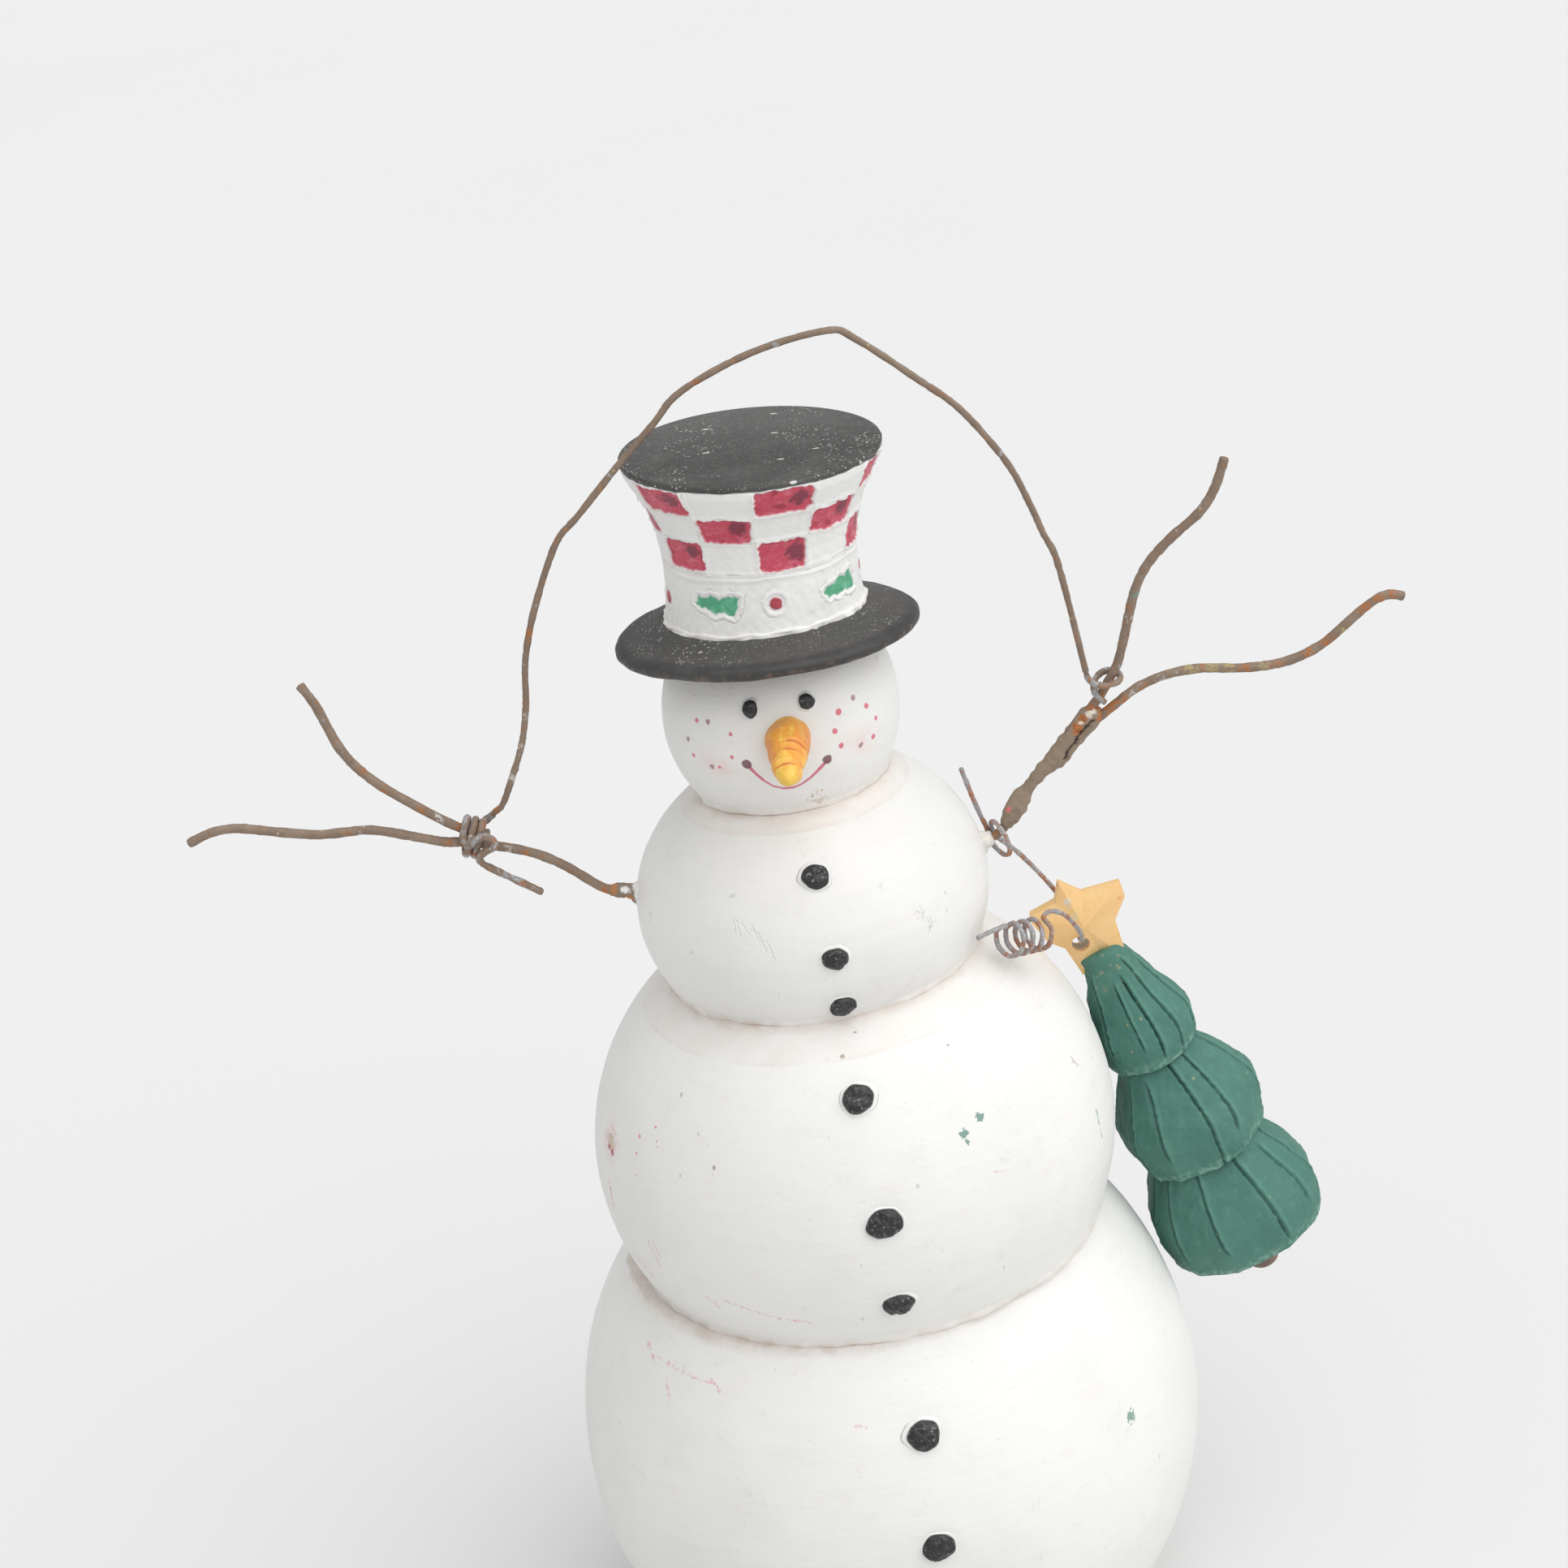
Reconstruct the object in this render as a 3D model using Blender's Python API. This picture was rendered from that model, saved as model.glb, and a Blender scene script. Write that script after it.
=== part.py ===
"""Snowman figure: four turned balls on dowels, a top hat, wire arms, a wire handle and a hanging tree.

Blender 4.5, metres, +Z up. The origin is on the flat of the foot, below the belly, chest and head,
which share the Z axis. The face looks along -Y, and +X is the side that the tree hangs on.
"""

import math

import bmesh
import bpy
from mathutils import Matrix, Vector

MM = 0.001
GAP = 0.3  # mm between pieces that touch
CUTTER_REACH = 40.0  # radius of a disc that trims a piece of the hat or head

# Driving dimensions in millimetres. A ball is (centre x, centre z, half width, half height).
BASE = (-2.5, 55.0, 66.0, 67.3)
BELLY = (0.0, 122.5, 54.0, 50.0)
CHEST = (0.0, 177.1, 35.6, 29.6)
HEAD = (0.0, 217.1, 23.5, 24.6)
BELLY_FOOT = 100.5  # height of the flat between base and belly
CHEST_FOOT = 163.2  # height of the flat between belly and chest
HEAD_FOOT = 202.3  # height of the flat between chest and head
BASE_DOWEL = (6.0, 20.0)  # radius, and depth into each neighbour
CHEST_DOWEL = (5.0, 15.0)
HEAD_DOWEL = (4.0, 10.0)
BALL_SEGMENTS = 36
BALL_RINGS = 12

HAT_SEAT = 233.25  # height of the hat's own origin, in the plane of the brim
HAT_LEAN = 4.2  # degrees towards +X
BRIM_LEAN = 2.4  # the brim's own lean
BRIM_NOD = -2.6  # degrees about X: the front of the brim is tipped up
HAT_TOP = 37.0  # height of the flat top above the hat's origin
HAT_RADIUS = 25.2
BRIM_RADIUS = 30.0
BRIM_UNDER = -1.4  # underside of the brim where the head meets it
BRIM_FLAT = 4.6  # top of the brim under the crown
BRIM_HOLE = 4.4  # radius of the brim's bore, which clears the leaning peg
HAT_PEG = (3.5, -16.0, 19.0)  # radius, lower end and upper end

NOSE_SEAT = (0.3, -21.3, 219.5)  # centre of its base, which is sunk under the surface of the head
NOSE_TIP = (-1.3, -39.0, 216.7)
NOSE_RADIUS = 4.3
NOSE_TENON = (1.8, 5.0)  # radius and depth in the head

LUMP_SEAT_DEPTH = 1.3
LUMP_RISE = 1.9
# name, ball, degrees to the +X side of the front, height above the ball's centre, width, height
LUMPS = (
    ("left_eye", HEAD, -15.5, 8.2, 3.2, 3.8),
    ("right_eye", HEAD, 12.5, 7.9, 3.3, 3.3),
    ("coal_button_1", CHEST, 0.3, 16.0, 6.0, 5.8),
    ("coal_button_2", CHEST, 1.7, 1.0, 5.8, 5.2),
    ("coal_button_3", CHEST, 1.9, -10.2, 6.0, 5.4),
    ("coal_button_4", BELLY, 1.9, 29.4, 6.6, 6.4),
    ("coal_button_5", BELLY, 2.7, 7.2, 7.6, 6.9),
    ("coal_button_6", BELLY, 2.8, -11.6, 6.9, 6.0),
    ("coal_button_7", BASE, 5.0, 29.5, 6.8, 6.6),
    ("coal_button_8", BASE, 3.8, 7.7, 7.2, 6.4),
    ("coal_button_9", BASE, 3.6, -12.5, 7.0, 6.6),
)

ARM_WIRE = 0.95  # radii of the wires
TIE_WIRE = 0.7
HANGER_WIRE = 0.6
# Routes of the wires, as points that a smooth curve passes through.
LEFT_ARM = (
    (-24, 0, 180.5), (-34, 0, 183.0), (-38, 0, 183.9), (-40.5, 0, 184.7), (-43.6, 0, 187.3),
    (-49.2, 0, 192.4), (-55, 0, 196.0), (-60, 0, 198.0), (-65.3, 0, 200.0), (-70.1, 0, 200.9),
    (-77.3, 0, 203.8), (-84.4, 0, 206.3), (-93.8, 0, 207.1), (-103, 0, 209.6), (-109.5, 0, 211.5),
    (-114.7, 0, 211.5), (-119.4, 0, 210),
)
LEFT_FINGER = (
    (-61, 0, 200.9), (-65, 0, 202.4), (-69.2, 0, 205.3), (-74.7, 0, 210.1), (-79.9, 0, 215),
    (-84, 0, 220.2), (-86.5, 0, 225.5), (-88.6, 0, 233.5), (-90.8, 0, 238.6),
)
RIGHT_ARM = (
    (25, 0, 178.6), (35.6, 0, 180.7), (37.2, 0, 181.1), (39.6, 0, 182.6), (42.2, 0, 186.0),
    (47.6, 0, 192.1), (52.5, 0, 195.9), (57.3, 0, 199.6), (61.6, 0, 202.7), (65.5, 0, 205.1),
    (69.7, 0, 207.5), (75.6, 0, 209.1), (82.4, 0, 209.2), (90.2, 0, 207.8), (97.1, 0, 207.3),
    (102.7, 0, 208.1), (108, 0, 210.3), (113.9, 0, 214.4), (118.5, 0, 217.1), (121.5, 0, 217.5),
    (123.9, 0, 216.6),
)
RIGHT_FINGER = (
    (55.0, 0, 200.6), (57.2, 0, 202.4), (59.9, 0, 204.7), (62.5, 0, 207.5), (64.7, 0, 210.6),
    (66.8, 0, 214), (69.6, 0, 222), (71.9, 0, 228.2), (75.2, 0, 233.1), (80.6, 0, 237.6),
    (85.8, 0, 241.1), (89.4, 0, 245.6), (91.9, 0, 251.3),
)
HANDLE = (
    (-58.9, -0.4, 205.6), (-57.1, -1.6, 207.4), (-54.1, -3.3, 213.2), (-50.7, -4.5, 220.5),
    (-48.3, -5.5, 228.7), (-46.6, -7, 237.9), (-42.9, -8.5, 248.1), (-36.4, -10.5, 260.8),
    (-31.1, -11, 265.8), (-21.7, -12, 274.6), (-14.3, -13, 281.1), (-8.1, -13.5, 286.5),
    (5.8, -14, 291.5), (19.9, -14, 293.1), (24.9, -13.8, 290.6), (35.1, -12.5, 280.7),
    (42.3, -11.5, 273.1), (49.5, -9.5, 261), (52.8, -8.5, 251.9), (54.8, -7.5, 244.9),
    (56.6, -6.5, 239.6), (58.2, -5, 227.8), (59.7, -3, 214.6),
)
# Putty round the arms at the chest, as (distance out from the chest end of the bore, radius).
LEFT_COLLAR = ((0.9, 2.7), (2.2, 1.65), (4.8, 1.55))
RIGHT_COLLAR = ((0.3, 2.4), (1.5, 1.6))
# Putty along the right arm, as (point along the arm, radius of the putty there).
LOWER_PUTTY = (
    ((40.6, 0, 183.8), 1.5), ((41.5, 0, 185.0), 1.9), ((42.6, 0, 186.6), 2.05),
    ((43.9, 0, 188.3), 1.8), ((45.2, 0, 189.9), 1.5),
)
UPPER_PUTTY = (
    ((46.6, 0, 191.1), 1.55), ((48.9, 0, 193.2), 2.0), ((51.3, 0, 195.3), 2.35),
    ((53.8, 0, 197.8), 2.7), ((56.3, 0, 200.2), 2.95), ((58.4, 0, 202.0), 3.05),
    ((59.8, 0, 203.1), 2.8),
)

# The hanging tree. Its plane faces the front, at this distance behind the figure's middle.
TREE_Y = 12.0
TREE_LEAN = 18.6  # degrees that the tree hangs outwards from the vertical
TREE_TOP = (56.6, TREE_Y, 144.0)
TREE_DEPTH = 0.95  # depth of its section over its width
TREE_SEGMENTS = 32
TREE_GROOVE = 0.965  # radius in a carved groove over the radius beside it
# Outline of the three tiers: (distance below the top, radius, how far the centre is off the axis).
TREE_OUTLINE = (
    (-3.0, 3.2, 0.0), (-2.0, 4.3, 0.0), (0.5, 5.0, 0.8), (4.3, 7.2, 1.0), (8.9, 9.0, 1.1),
    (13.5, 10.2, 1.3), (17.0, 10.4, 1.4), (21.0, 9.9, 1.0), (24.6, 9.2, 0.5), (24.7, 8.2, 0.5),
    (26.9, 10.2, 1.2), (31.4, 12.7, 1.3), (35.6, 14.6, 1.3), (39.3, 15.5, 1.2), (43.0, 15.4, 1.0),
    (47.8, 14.4, 0.4), (50.0, 13.4, 0.2), (50.1, 12.3, 0.2), (52.0, 13.9, 0.1), (55.0, 15.7, 0.1),
    (59.7, 17.5, 0.2), (64.5, 18.7, 0.3), (68.5, 18.9, 0.4), (72.6, 17.9, 0.2), (75.6, 16.4, 0.0),
    (76.2, 14.6, 0.0),
)
TRUNK = (3.3, 68.0, 84.5)  # radius, upper end and lower end
STAR_CENTRE = (53.7, TREE_Y, 153.5)
# Outline of the star, as (degrees from +X, reach from its centre): points, notches and worn corners.
STAR_OUTLINE = (
    (111, 10.3), (83, 6.4), (39, 11.5), (24, 10.4), (-7, 6.9), (-43, 10.9), (-51, 11.7), (-68, 8.6),
    (-96, 12.2), (-128, 6.8), (-157, 8.2), (170, 10.6), (162, 10.8), (132, 7.3),
)
STAR_EDGE = 1.3  # half thickness at the outline
STAR_RIDGE = 2.7  # half thickness at the centre
STAR_HOLE = (52.7, TREE_Y, 149.3)
STAR_HOLE_RADIUS = 1.85
SLOT_HALF = 3.1  # half thickness of the slot in the tree's top that holds the star
SLOT_DEPTH = 1.8
SLOT_WIDE = 9.0  # half width of its cutter, which is wider than the tree's top

# The hanger: a wire looped over the right arm, through the star's hole, and wound up in a coil.
LOOP_CENTRE = (38.6, 0.0, 180.6)
LOOP_RADIUS = 3.7
LOOP_SWAY = 14.0  # degrees that the loop's top leans to -X
LOOP_TURN = 22.0  # degrees that the loop's near side is swung towards +X
LOOP_ADVANCE = 1.6  # how far the loop moves along the arm in one turn
COIL_START = (43.6, -9.4, 162.8)
COIL_END = (35.5, -15.6, 165.4)
COIL_RADIUS = 3.2
COIL_TURNS = 4.0

# Joint axes, each a point and a direction. The handle's axis joins its two ends.
HANGER_PIVOT = (38.9, 0.0, 182.0)
TREE_PIVOT = (52.8, TREE_Y, 150.1)


def clear_scene():
    for found in list(bpy.data.objects):
        bpy.data.objects.remove(found)


def material(name, colour, roughness, metallic=0.0):
    made = bpy.data.materials.new(name)
    made.use_nodes = True
    shader = made.node_tree.nodes["Principled BSDF"]
    shader.inputs["Base Color"].default_value = (*colour, 1.0)
    shader.inputs["Roughness"].default_value = roughness
    shader.inputs["Metallic"].default_value = metallic
    made.diffuse_color = (*colour, 1.0)
    return made


def add_object(name, data, finish):
    made = bpy.data.objects.new(name, data)
    bpy.context.scene.collection.objects.link(made)
    if finish is not None:
        data.materials.append(finish)
    return made


def millimetres(point):
    return Vector(point) * MM


# Routes -------------------------------------------------------------------------------------------


def smooth_route(points, per_span=3):
    """Points along a smooth curve through the given points (a Catmull-Rom spline)."""
    known = [Vector(point) for point in points]
    known = [2 * known[0] - known[1], *known, 2 * known[-1] - known[-2]]
    route = []
    for a, b, c, d in zip(known, known[1:], known[2:], known[3:]):
        for step in range(per_span):
            t = step / per_span
            bend = (2 * a - 5 * b + 4 * c - d) * t**2 + (3 * b - a - 3 * c + d) * t**3
            route.append(b + 0.5 * ((c - a) * t + bend))
    route.append(known[-2])
    return route


def helix(start, axis, first, second, radius, turns, from_degrees, advance, per_turn=6):
    """Points round an axis: radius is (along first, along second), and advance is over all turns."""
    count = round(abs(turns) * per_turn)
    points = []
    for step in range(count + 1):
        share = step / count
        angle = math.radians(from_degrees) + share * turns * math.tau
        across = first * (radius[0] * math.cos(angle)) + second * (radius[1] * math.sin(angle))
        points.append(start + axis * (advance * share) + across)
    return points


# Makers of shapes ---------------------------------------------------------------------------------


def wire(name, route, radius, finish, sides=8):
    """A round wire along a route in millimetres, as a curve with a bevel and closed ends."""
    curve = bpy.data.curves.new(name, "CURVE")
    curve.dimensions = "3D"
    curve.bevel_depth = radius * MM
    curve.bevel_resolution = (sides - 4) // 2
    curve.use_fill_caps = True
    spline = curve.splines.new("POLY")
    spline.points.add(len(route) - 1)
    for point, place in zip(spline.points, route):
        point.co = (*(Vector(place) * MM), 1.0)
    return add_object(name, curve, finish)


def tube(name, route, radii, finish, sides=12):
    """A tube with its own radius at each point of the route, as a mesh."""
    guide = wire(name + "_guide", route, 1.0, None, sides)
    for point, radius in zip(guide.data.splines[0].points, radii):
        point.radius = radius
    bpy.context.view_layer.update()
    mesh = bpy.data.meshes.new_from_object(guide)
    bpy.data.objects.remove(guide)
    return add_object(name, welded(mesh), finish)


def welded(mesh):
    shape = bmesh.new()
    shape.from_mesh(mesh)
    bmesh.ops.remove_doubles(shape, verts=shape.verts, dist=1e-6)
    bmesh.ops.recalc_face_normals(shape, faces=shape.faces)
    shape.to_mesh(mesh)
    shape.free()
    return mesh


def smooth(piece, degrees=35):
    piece.data.shade_smooth()
    piece.data.set_sharp_from_angle(angle=math.radians(degrees))
    return piece


def turned(name, profile, finish, segments=BALL_SEGMENTS):
    """Turns a profile of (radius, height) in millimetres, whose ends are on the axis, about Z."""
    shape = bmesh.new()
    corners = [shape.verts.new((r * MM, 0, z * MM)) for r, z in profile]
    edges = [shape.edges.new(pair) for pair in zip(corners, corners[1:])]
    bmesh.ops.spin(
        shape, geom=corners + edges, cent=(0, 0, 0), axis=(0, 0, 1), angle=math.tau,
        steps=segments, use_merge=True,
    )
    bmesh.ops.remove_doubles(shape, verts=shape.verts, dist=1e-6)
    bmesh.ops.recalc_face_normals(shape, faces=shape.faces)
    mesh = bpy.data.meshes.new(name)
    shape.to_mesh(mesh)
    shape.free()
    return smooth(add_object(name, mesh, finish))


def loft(name, rings, finish):
    """A closed body through rings of the same number of points, with a flat face at each end."""
    shape = bmesh.new()
    rows = [[shape.verts.new(millimetres(point)) for point in ring] for ring in rings]
    for lower, upper in zip(rows, rows[1:]):
        for step in range(len(lower)):
            after = (step + 1) % len(lower)
            shape.faces.new((lower[step], lower[after], upper[after], upper[step]))
    shape.faces.new(rows[0])
    shape.faces.new(rows[-1])
    bmesh.ops.recalc_face_normals(shape, faces=shape.faces)
    mesh = bpy.data.meshes.new(name)
    shape.to_mesh(mesh)
    shape.free()
    return smooth(add_object(name, mesh, finish))


def as_cutter(piece):
    piece.hide_render = True
    piece.display_type = "WIRE"
    return piece


def cut(piece, cutter):
    """Takes a hidden cutter out of a piece."""
    boolean = piece.modifiers.new(cutter.name, "BOOLEAN")
    boolean.operation = "DIFFERENCE"
    boolean.solver = "EXACT"
    boolean.object = cutter


def drill(piece, name, mouth, inward, radius, depth, sides=20):
    """Bores a blind hole: mouth is a point on the surface, inward the direction of the drill."""
    inward = Vector(inward).normalized()
    start = Vector(mouth) - inward * 4.0
    end = Vector(mouth) + inward * depth
    cutter = tube(name + "_bore", (start, end), (radius, radius), None, sides)
    cut(piece, as_cutter(cutter))


# The figure ---------------------------------------------------------------------------------------


def on_ball(ball, degrees, height):
    """Point on a ball's surface and its outward direction there."""
    centre_x, centre_z, half_width, half_height = ball
    ring = half_width * math.sqrt(1 - (height / half_height) ** 2)
    turn = math.radians(degrees)
    offset = Vector((ring * math.sin(turn), -ring * math.cos(turn), height))
    outward = Vector((offset.x / half_width**2, offset.y / half_width**2, height / half_height**2))
    return Vector((centre_x, 0, centre_z)) + offset, outward.normalized()


def ball_profile(ball, bottom, top, lower_bore=None, upper_bore=None):
    """Profile of a ball between two flats, about its own axis, with a blind bore in each flat."""
    centre_z, half_width, half_height = ball[1:]
    highest = math.asin((top - centre_z) / half_height)
    lowest = math.asin((bottom - centre_z) / half_height)
    profile = []
    if upper_bore:
        radius, depth = upper_bore[0] + GAP, upper_bore[1] + GAP
        profile += [(0, top - depth), (radius, top - depth), (radius, top)]
    else:
        profile += [(0, top)]
    for step in range(BALL_RINGS + 1):
        angle = highest + (lowest - highest) * step / BALL_RINGS
        profile.append((half_width * math.cos(angle), centre_z + half_height * math.sin(angle)))
    if lower_bore:
        radius, depth = lower_bore[0] + GAP, lower_bore[1] + GAP
        profile += [(radius, bottom), (radius, bottom + depth), (0, bottom + depth)]
    else:
        profile += [(0, bottom)]
    return profile


def balls(paint):
    """The four balls. Each flat is half a gap off the plane where two balls meet."""
    half = GAP / 2
    base = turned("base_ball", ball_profile(BASE, 0.0, BELLY_FOOT - half), paint)
    base.location.x = BASE[0] * MM
    drill(base, "base_dowel", (0, 0, BELLY_FOOT - half), (0, 0, -1), BASE_DOWEL[0] + GAP,
          BASE_DOWEL[1] + GAP)
    belly = turned(
        "belly_ball",
        ball_profile(BELLY, BELLY_FOOT + half, CHEST_FOOT - half, BASE_DOWEL, CHEST_DOWEL),
        paint,
    )
    chest = turned(
        "chest_ball",
        ball_profile(CHEST, CHEST_FOOT + half, HEAD_FOOT - half, CHEST_DOWEL, HEAD_DOWEL),
        paint,
    )
    head = turned("head_ball", ball_profile(HEAD, HEAD_FOOT + half, 241.0, HEAD_DOWEL), paint)
    return base, belly, chest, head


def dowel(name, middle, size, finish):
    """A plain dowel on the Z axis, with eased ends, half in each neighbour."""
    radius, reach = size
    turned(
        name,
        ((0, middle + reach), (radius - 0.5, middle + reach), (radius, middle + reach - 0.5),
         (radius, middle - reach + 0.5), (radius - 0.5, middle - reach), (0, middle - reach)),
        finish,
        24,
    )


def lump_axes(outward):
    """Sideways and upward directions in the plane that touches a ball."""
    sideways = Vector((0, 0, 1)).cross(outward).normalized()
    return sideways, outward.cross(sideways)


def lump(name, ball, degrees, height, width, tall, number, finish):
    """A nugget of coal: a domed head of uneven outline on a short round root."""
    place, outward = on_ball(ball, degrees, height)
    sideways, upward = lump_axes(outward)
    root = min(width, tall) / 2 - 0.7
    # Each row is (height off the surface, share of the outline or radius of the root).
    rows = ((GAP - LUMP_SEAT_DEPTH, None), (GAP + 0.05, None), (GAP + 0.05, 0.92), (0.8, 1.0),
            (0.7 * LUMP_RISE, 0.86), (LUMP_RISE, 0.45))
    rings = []
    for rise, share in rows:
        ring = []
        for step in range(12):
            turn = math.tau * step / 12
            uneven = 1 + 0.06 * math.sin(2 * turn + number) + 0.05 * math.sin(3 * turn + 2.3 * number)
            if share is None:
                reach = (root, root)
            else:
                reach = (share * uneven * width / 2, share * uneven * tall / 2)
            across = sideways * (reach[0] * math.cos(turn)) + upward * (reach[1] * math.sin(turn))
            ring.append(place + outward * rise + across)
        rings.append(ring)
    loft(name, rings, finish)
    return place, -outward, root + GAP


def leaning(lean, nod=0.0):
    """Place of a piece of the hat that leans towards +X and whose back is tipped down."""
    place = Matrix.Translation(millimetres((0, 0, HAT_SEAT)))
    turn = Matrix.Rotation(math.radians(lean), 4, "Y") @ Matrix.Rotation(math.radians(nod), 4, "X")
    return place @ turn


def disc_cutter(name, low, high, matrix):
    """A wide disc between two heights, in the frame of a piece of the hat."""
    profile = ((0, high), (CUTTER_REACH, high), (CUTTER_REACH, low), (0, low))
    cutter = turned(name, profile, None, 24)
    cutter.matrix_world = matrix
    return as_cutter(cutter)


def hat(head, felt, paint, timber):
    """Brim, crown and the peg that joins them to the head. The brim has a tilt of its own."""
    peg_radius, peg_low, peg_high = HAT_PEG
    bore = peg_radius + GAP
    crown_place, brim_place = leaning(HAT_LEAN), leaning(BRIM_LEAN, BRIM_NOD)
    brim = turned(
        "hat_brim",
        ((BRIM_HOLE, BRIM_FLAT), (20.0, BRIM_FLAT), (24.0, 2.9), (28.4, 1.2), (29.6, 0.6),
         (BRIM_RADIUS, -0.3), (29.7, -1.1), (28.8, -1.8), (21.0, BRIM_UNDER), (BRIM_HOLE, BRIM_UNDER),
         (BRIM_HOLE, BRIM_FLAT)),
        felt,
    )
    brim.matrix_world = brim_place
    crown = turned(
        "hat_crown",
        ((0, HAT_TOP), (24.6, HAT_TOP), (HAT_RADIUS, HAT_TOP - 0.5), (24.9, 34.6), (23.2, 31.4),
         (21.4, 28.2), (20.1, 25.0), (19.2, 21.0), (18.8, 17.0), (18.8, 12.0), (19.0, 8.0),
         (19.4, 5.2), (19.3, 1.0), (bore, 1.0), (bore, peg_high + GAP), (0, peg_high + GAP)),
        paint,
    )
    crown.matrix_world = crown_place
    cut(crown, disc_cutter("crown_foot_cutter", -9.0, BRIM_FLAT + GAP, brim_place))
    peg = turned(
        "hat_peg",
        ((0, peg_high), (peg_radius - 0.5, peg_high), (peg_radius, peg_high - 0.5),
         (peg_radius, peg_low + 0.5), (peg_radius - 0.5, peg_low), (0, peg_low)),
        timber,
        24,
    )
    peg.matrix_world = crown_place
    cut(head, disc_cutter("head_top_cutter", BRIM_UNDER - GAP, 30.0, brim_place))
    socket = Vector((0, 0, HAT_SEAT)) + crown_place.to_3x3() @ Vector((0, 0, BRIM_UNDER))
    drill(head, "hat_peg", socket, crown_place.to_3x3() @ Vector((0, 0, -1)), bore,
          BRIM_UNDER - peg_low + GAP)


def nose(head, finish):
    """A carrot: a drooping cone with shallow rings, on a tenon in the head."""
    seat, tip = Vector(NOSE_SEAT), Vector(NOSE_TIP)
    length = (tip - seat).length
    tenon, depth = NOSE_TENON
    full = NOSE_RADIUS
    profile = [(0, length), (0.7, length - 0.2), (1.25, length - 1.1)]
    rings = 4
    for ring in range(rings, 0, -1):
        share = ring / (rings + 1)
        radius = 1.5 + (full - 1.5) * (1 - share) ** 0.85
        height = 3.2 + (length - 3.2) * share
        profile += [(radius, height + 0.6), (radius - 0.18, height)]
    profile += [(full, 3.2), (full, 0), (tenon, 0), (tenon, -depth), (0, -depth)]
    carrot = turned("carrot_nose", profile, finish, 20)
    along = (tip - seat).normalized()
    turn = along.to_track_quat("Z", "Y").to_matrix().to_4x4()
    carrot.matrix_world = Matrix.Translation(seat * MM) @ turn
    drill(head, "nose_seat", seat, -along, full + GAP, GAP)
    drill(head, "nose_tenon", seat, -along, tenon + GAP, depth + GAP)


# Arms ---------------------------------------------------------------------------------------------


def route_until(route, limit):
    """The part of an arm's route out to a distance from the middle."""
    return [point for point in route if abs(point.x) <= limit]


def collar(name, mouth, along, profile, finish):
    """A cone of putty round an arm where it leaves the chest: pairs of (distance out, radius)."""
    along = Vector(along).normalized()
    points = [Vector(mouth) + along * distance for distance, _ in profile]
    cone = tube(name, points, [radius for _, radius in profile], finish)
    ends = (points[0] - along, points[-1] + along)
    cut(cone, as_cutter(tube(name + "_bore", ends, (ARM_WIRE + GAP,) * 2, None)))
    return smooth(cone)


def putty(name, stations, wires, finish):
    """A sleeve of putty moulded over one or two wires."""
    points = [Vector(place) for place, _ in stations]
    sleeve = tube(name, points, [radius for _, radius in stations], finish)
    for number, route in enumerate(wires, 1):
        bore = tube(f"{name}_bore_{number}", route, [ARM_WIRE + GAP] * len(route), None)
        cut(sleeve, as_cutter(bore))
    return smooth(sleeve)


def arms(chest, rust, clay):
    left = smooth_route(LEFT_ARM, 2)
    right = smooth_route(RIGHT_ARM, 2)
    finger = smooth_route(RIGHT_FINGER, 2)
    wire("left_arm_wire", left, ARM_WIRE, rust)
    wire("left_finger_wire", smooth_route(LEFT_FINGER, 2), ARM_WIRE, rust)
    wire("right_arm_wire", right, ARM_WIRE, rust)
    wire("right_finger_wire", finger, ARM_WIRE, rust)
    for side, route, profile in (("left", LEFT_ARM, LEFT_COLLAR), ("right", RIGHT_ARM, RIGHT_COLLAR)):
        inner, mouth = Vector(route[0]), Vector(route[1])
        inward = inner - mouth
        drill(chest, side + "_arm", mouth, inward, ARM_WIRE + GAP, inward.length + GAP, 12)
        collar(side + "_arm_collar", mouth, -inward, profile, clay)
    putty("right_arm_lower_putty", LOWER_PUTTY, [route_until(right, 52)], clay)
    fork = [2 * finger[0] - finger[1], *route_until(finger, 61)]
    putty("right_arm_fork_putty", UPPER_PUTTY, [route_until(right, 63), fork], clay)


def knots(rust):
    """The two ends of the handle's wire, wound tight round the arms."""
    axis = Vector((-0.94, 0, 0.34))
    upward = Vector((0.34, 0, 0.94))
    back = Vector((0, 1, 0))
    start = Vector((-62.6, 0, 200.2))
    wraps = helix(start, axis, upward, back, (3.8, 2.4), -2.5, 100, 4.0)
    curl = [(-65.4, -3.6, 200.6), (-63.6, -4.0, 201.9), (-61.6, -4.1, 202.2), (-60.2, -4.0, 201.0),
            (-60.6, -3.8, 199.5), (-62.2, -3.6, 198.9)]
    tail = [(-63.7, -3.5, 197.9), (-63.5, -3.4, 196.6), (-62.2, -3.4, 195.3), (-58.4, -3.3, 192.2),
            (-52.9, -3.1, 187.8)]
    stub = [(-59.6, 0.3, 204.8), (-60.6, 1.4, 203.8)]
    route = stub + wraps[1:] + curl + tail
    wire("left_knot", smooth_route(route, 2), TIE_WIRE, rust, 6)
    hook = ((59.85, -2.75, 213.5), (60.1, -2.6, 212.2), (61.3, -2.6, 210.8), (63.5, -2.4, 210.0),
            (65.8, -1.7, 210.1), (66.7, -0.1, 210.5), (66.0, 1.6, 211.1), (64.3, 2.2, 211.3),
            (62.5, 1.6, 210.8), (61.4, 0.2, 209.8), (61.2, -1.5, 208.4), (62.1, -2.2, 207.3),
            (62.9, -2.3, 206.4))
    wire("right_knot", smooth_route(hook, 2), TIE_WIRE, rust, 6)


# What moves ---------------------------------------------------------------------------------------


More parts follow.
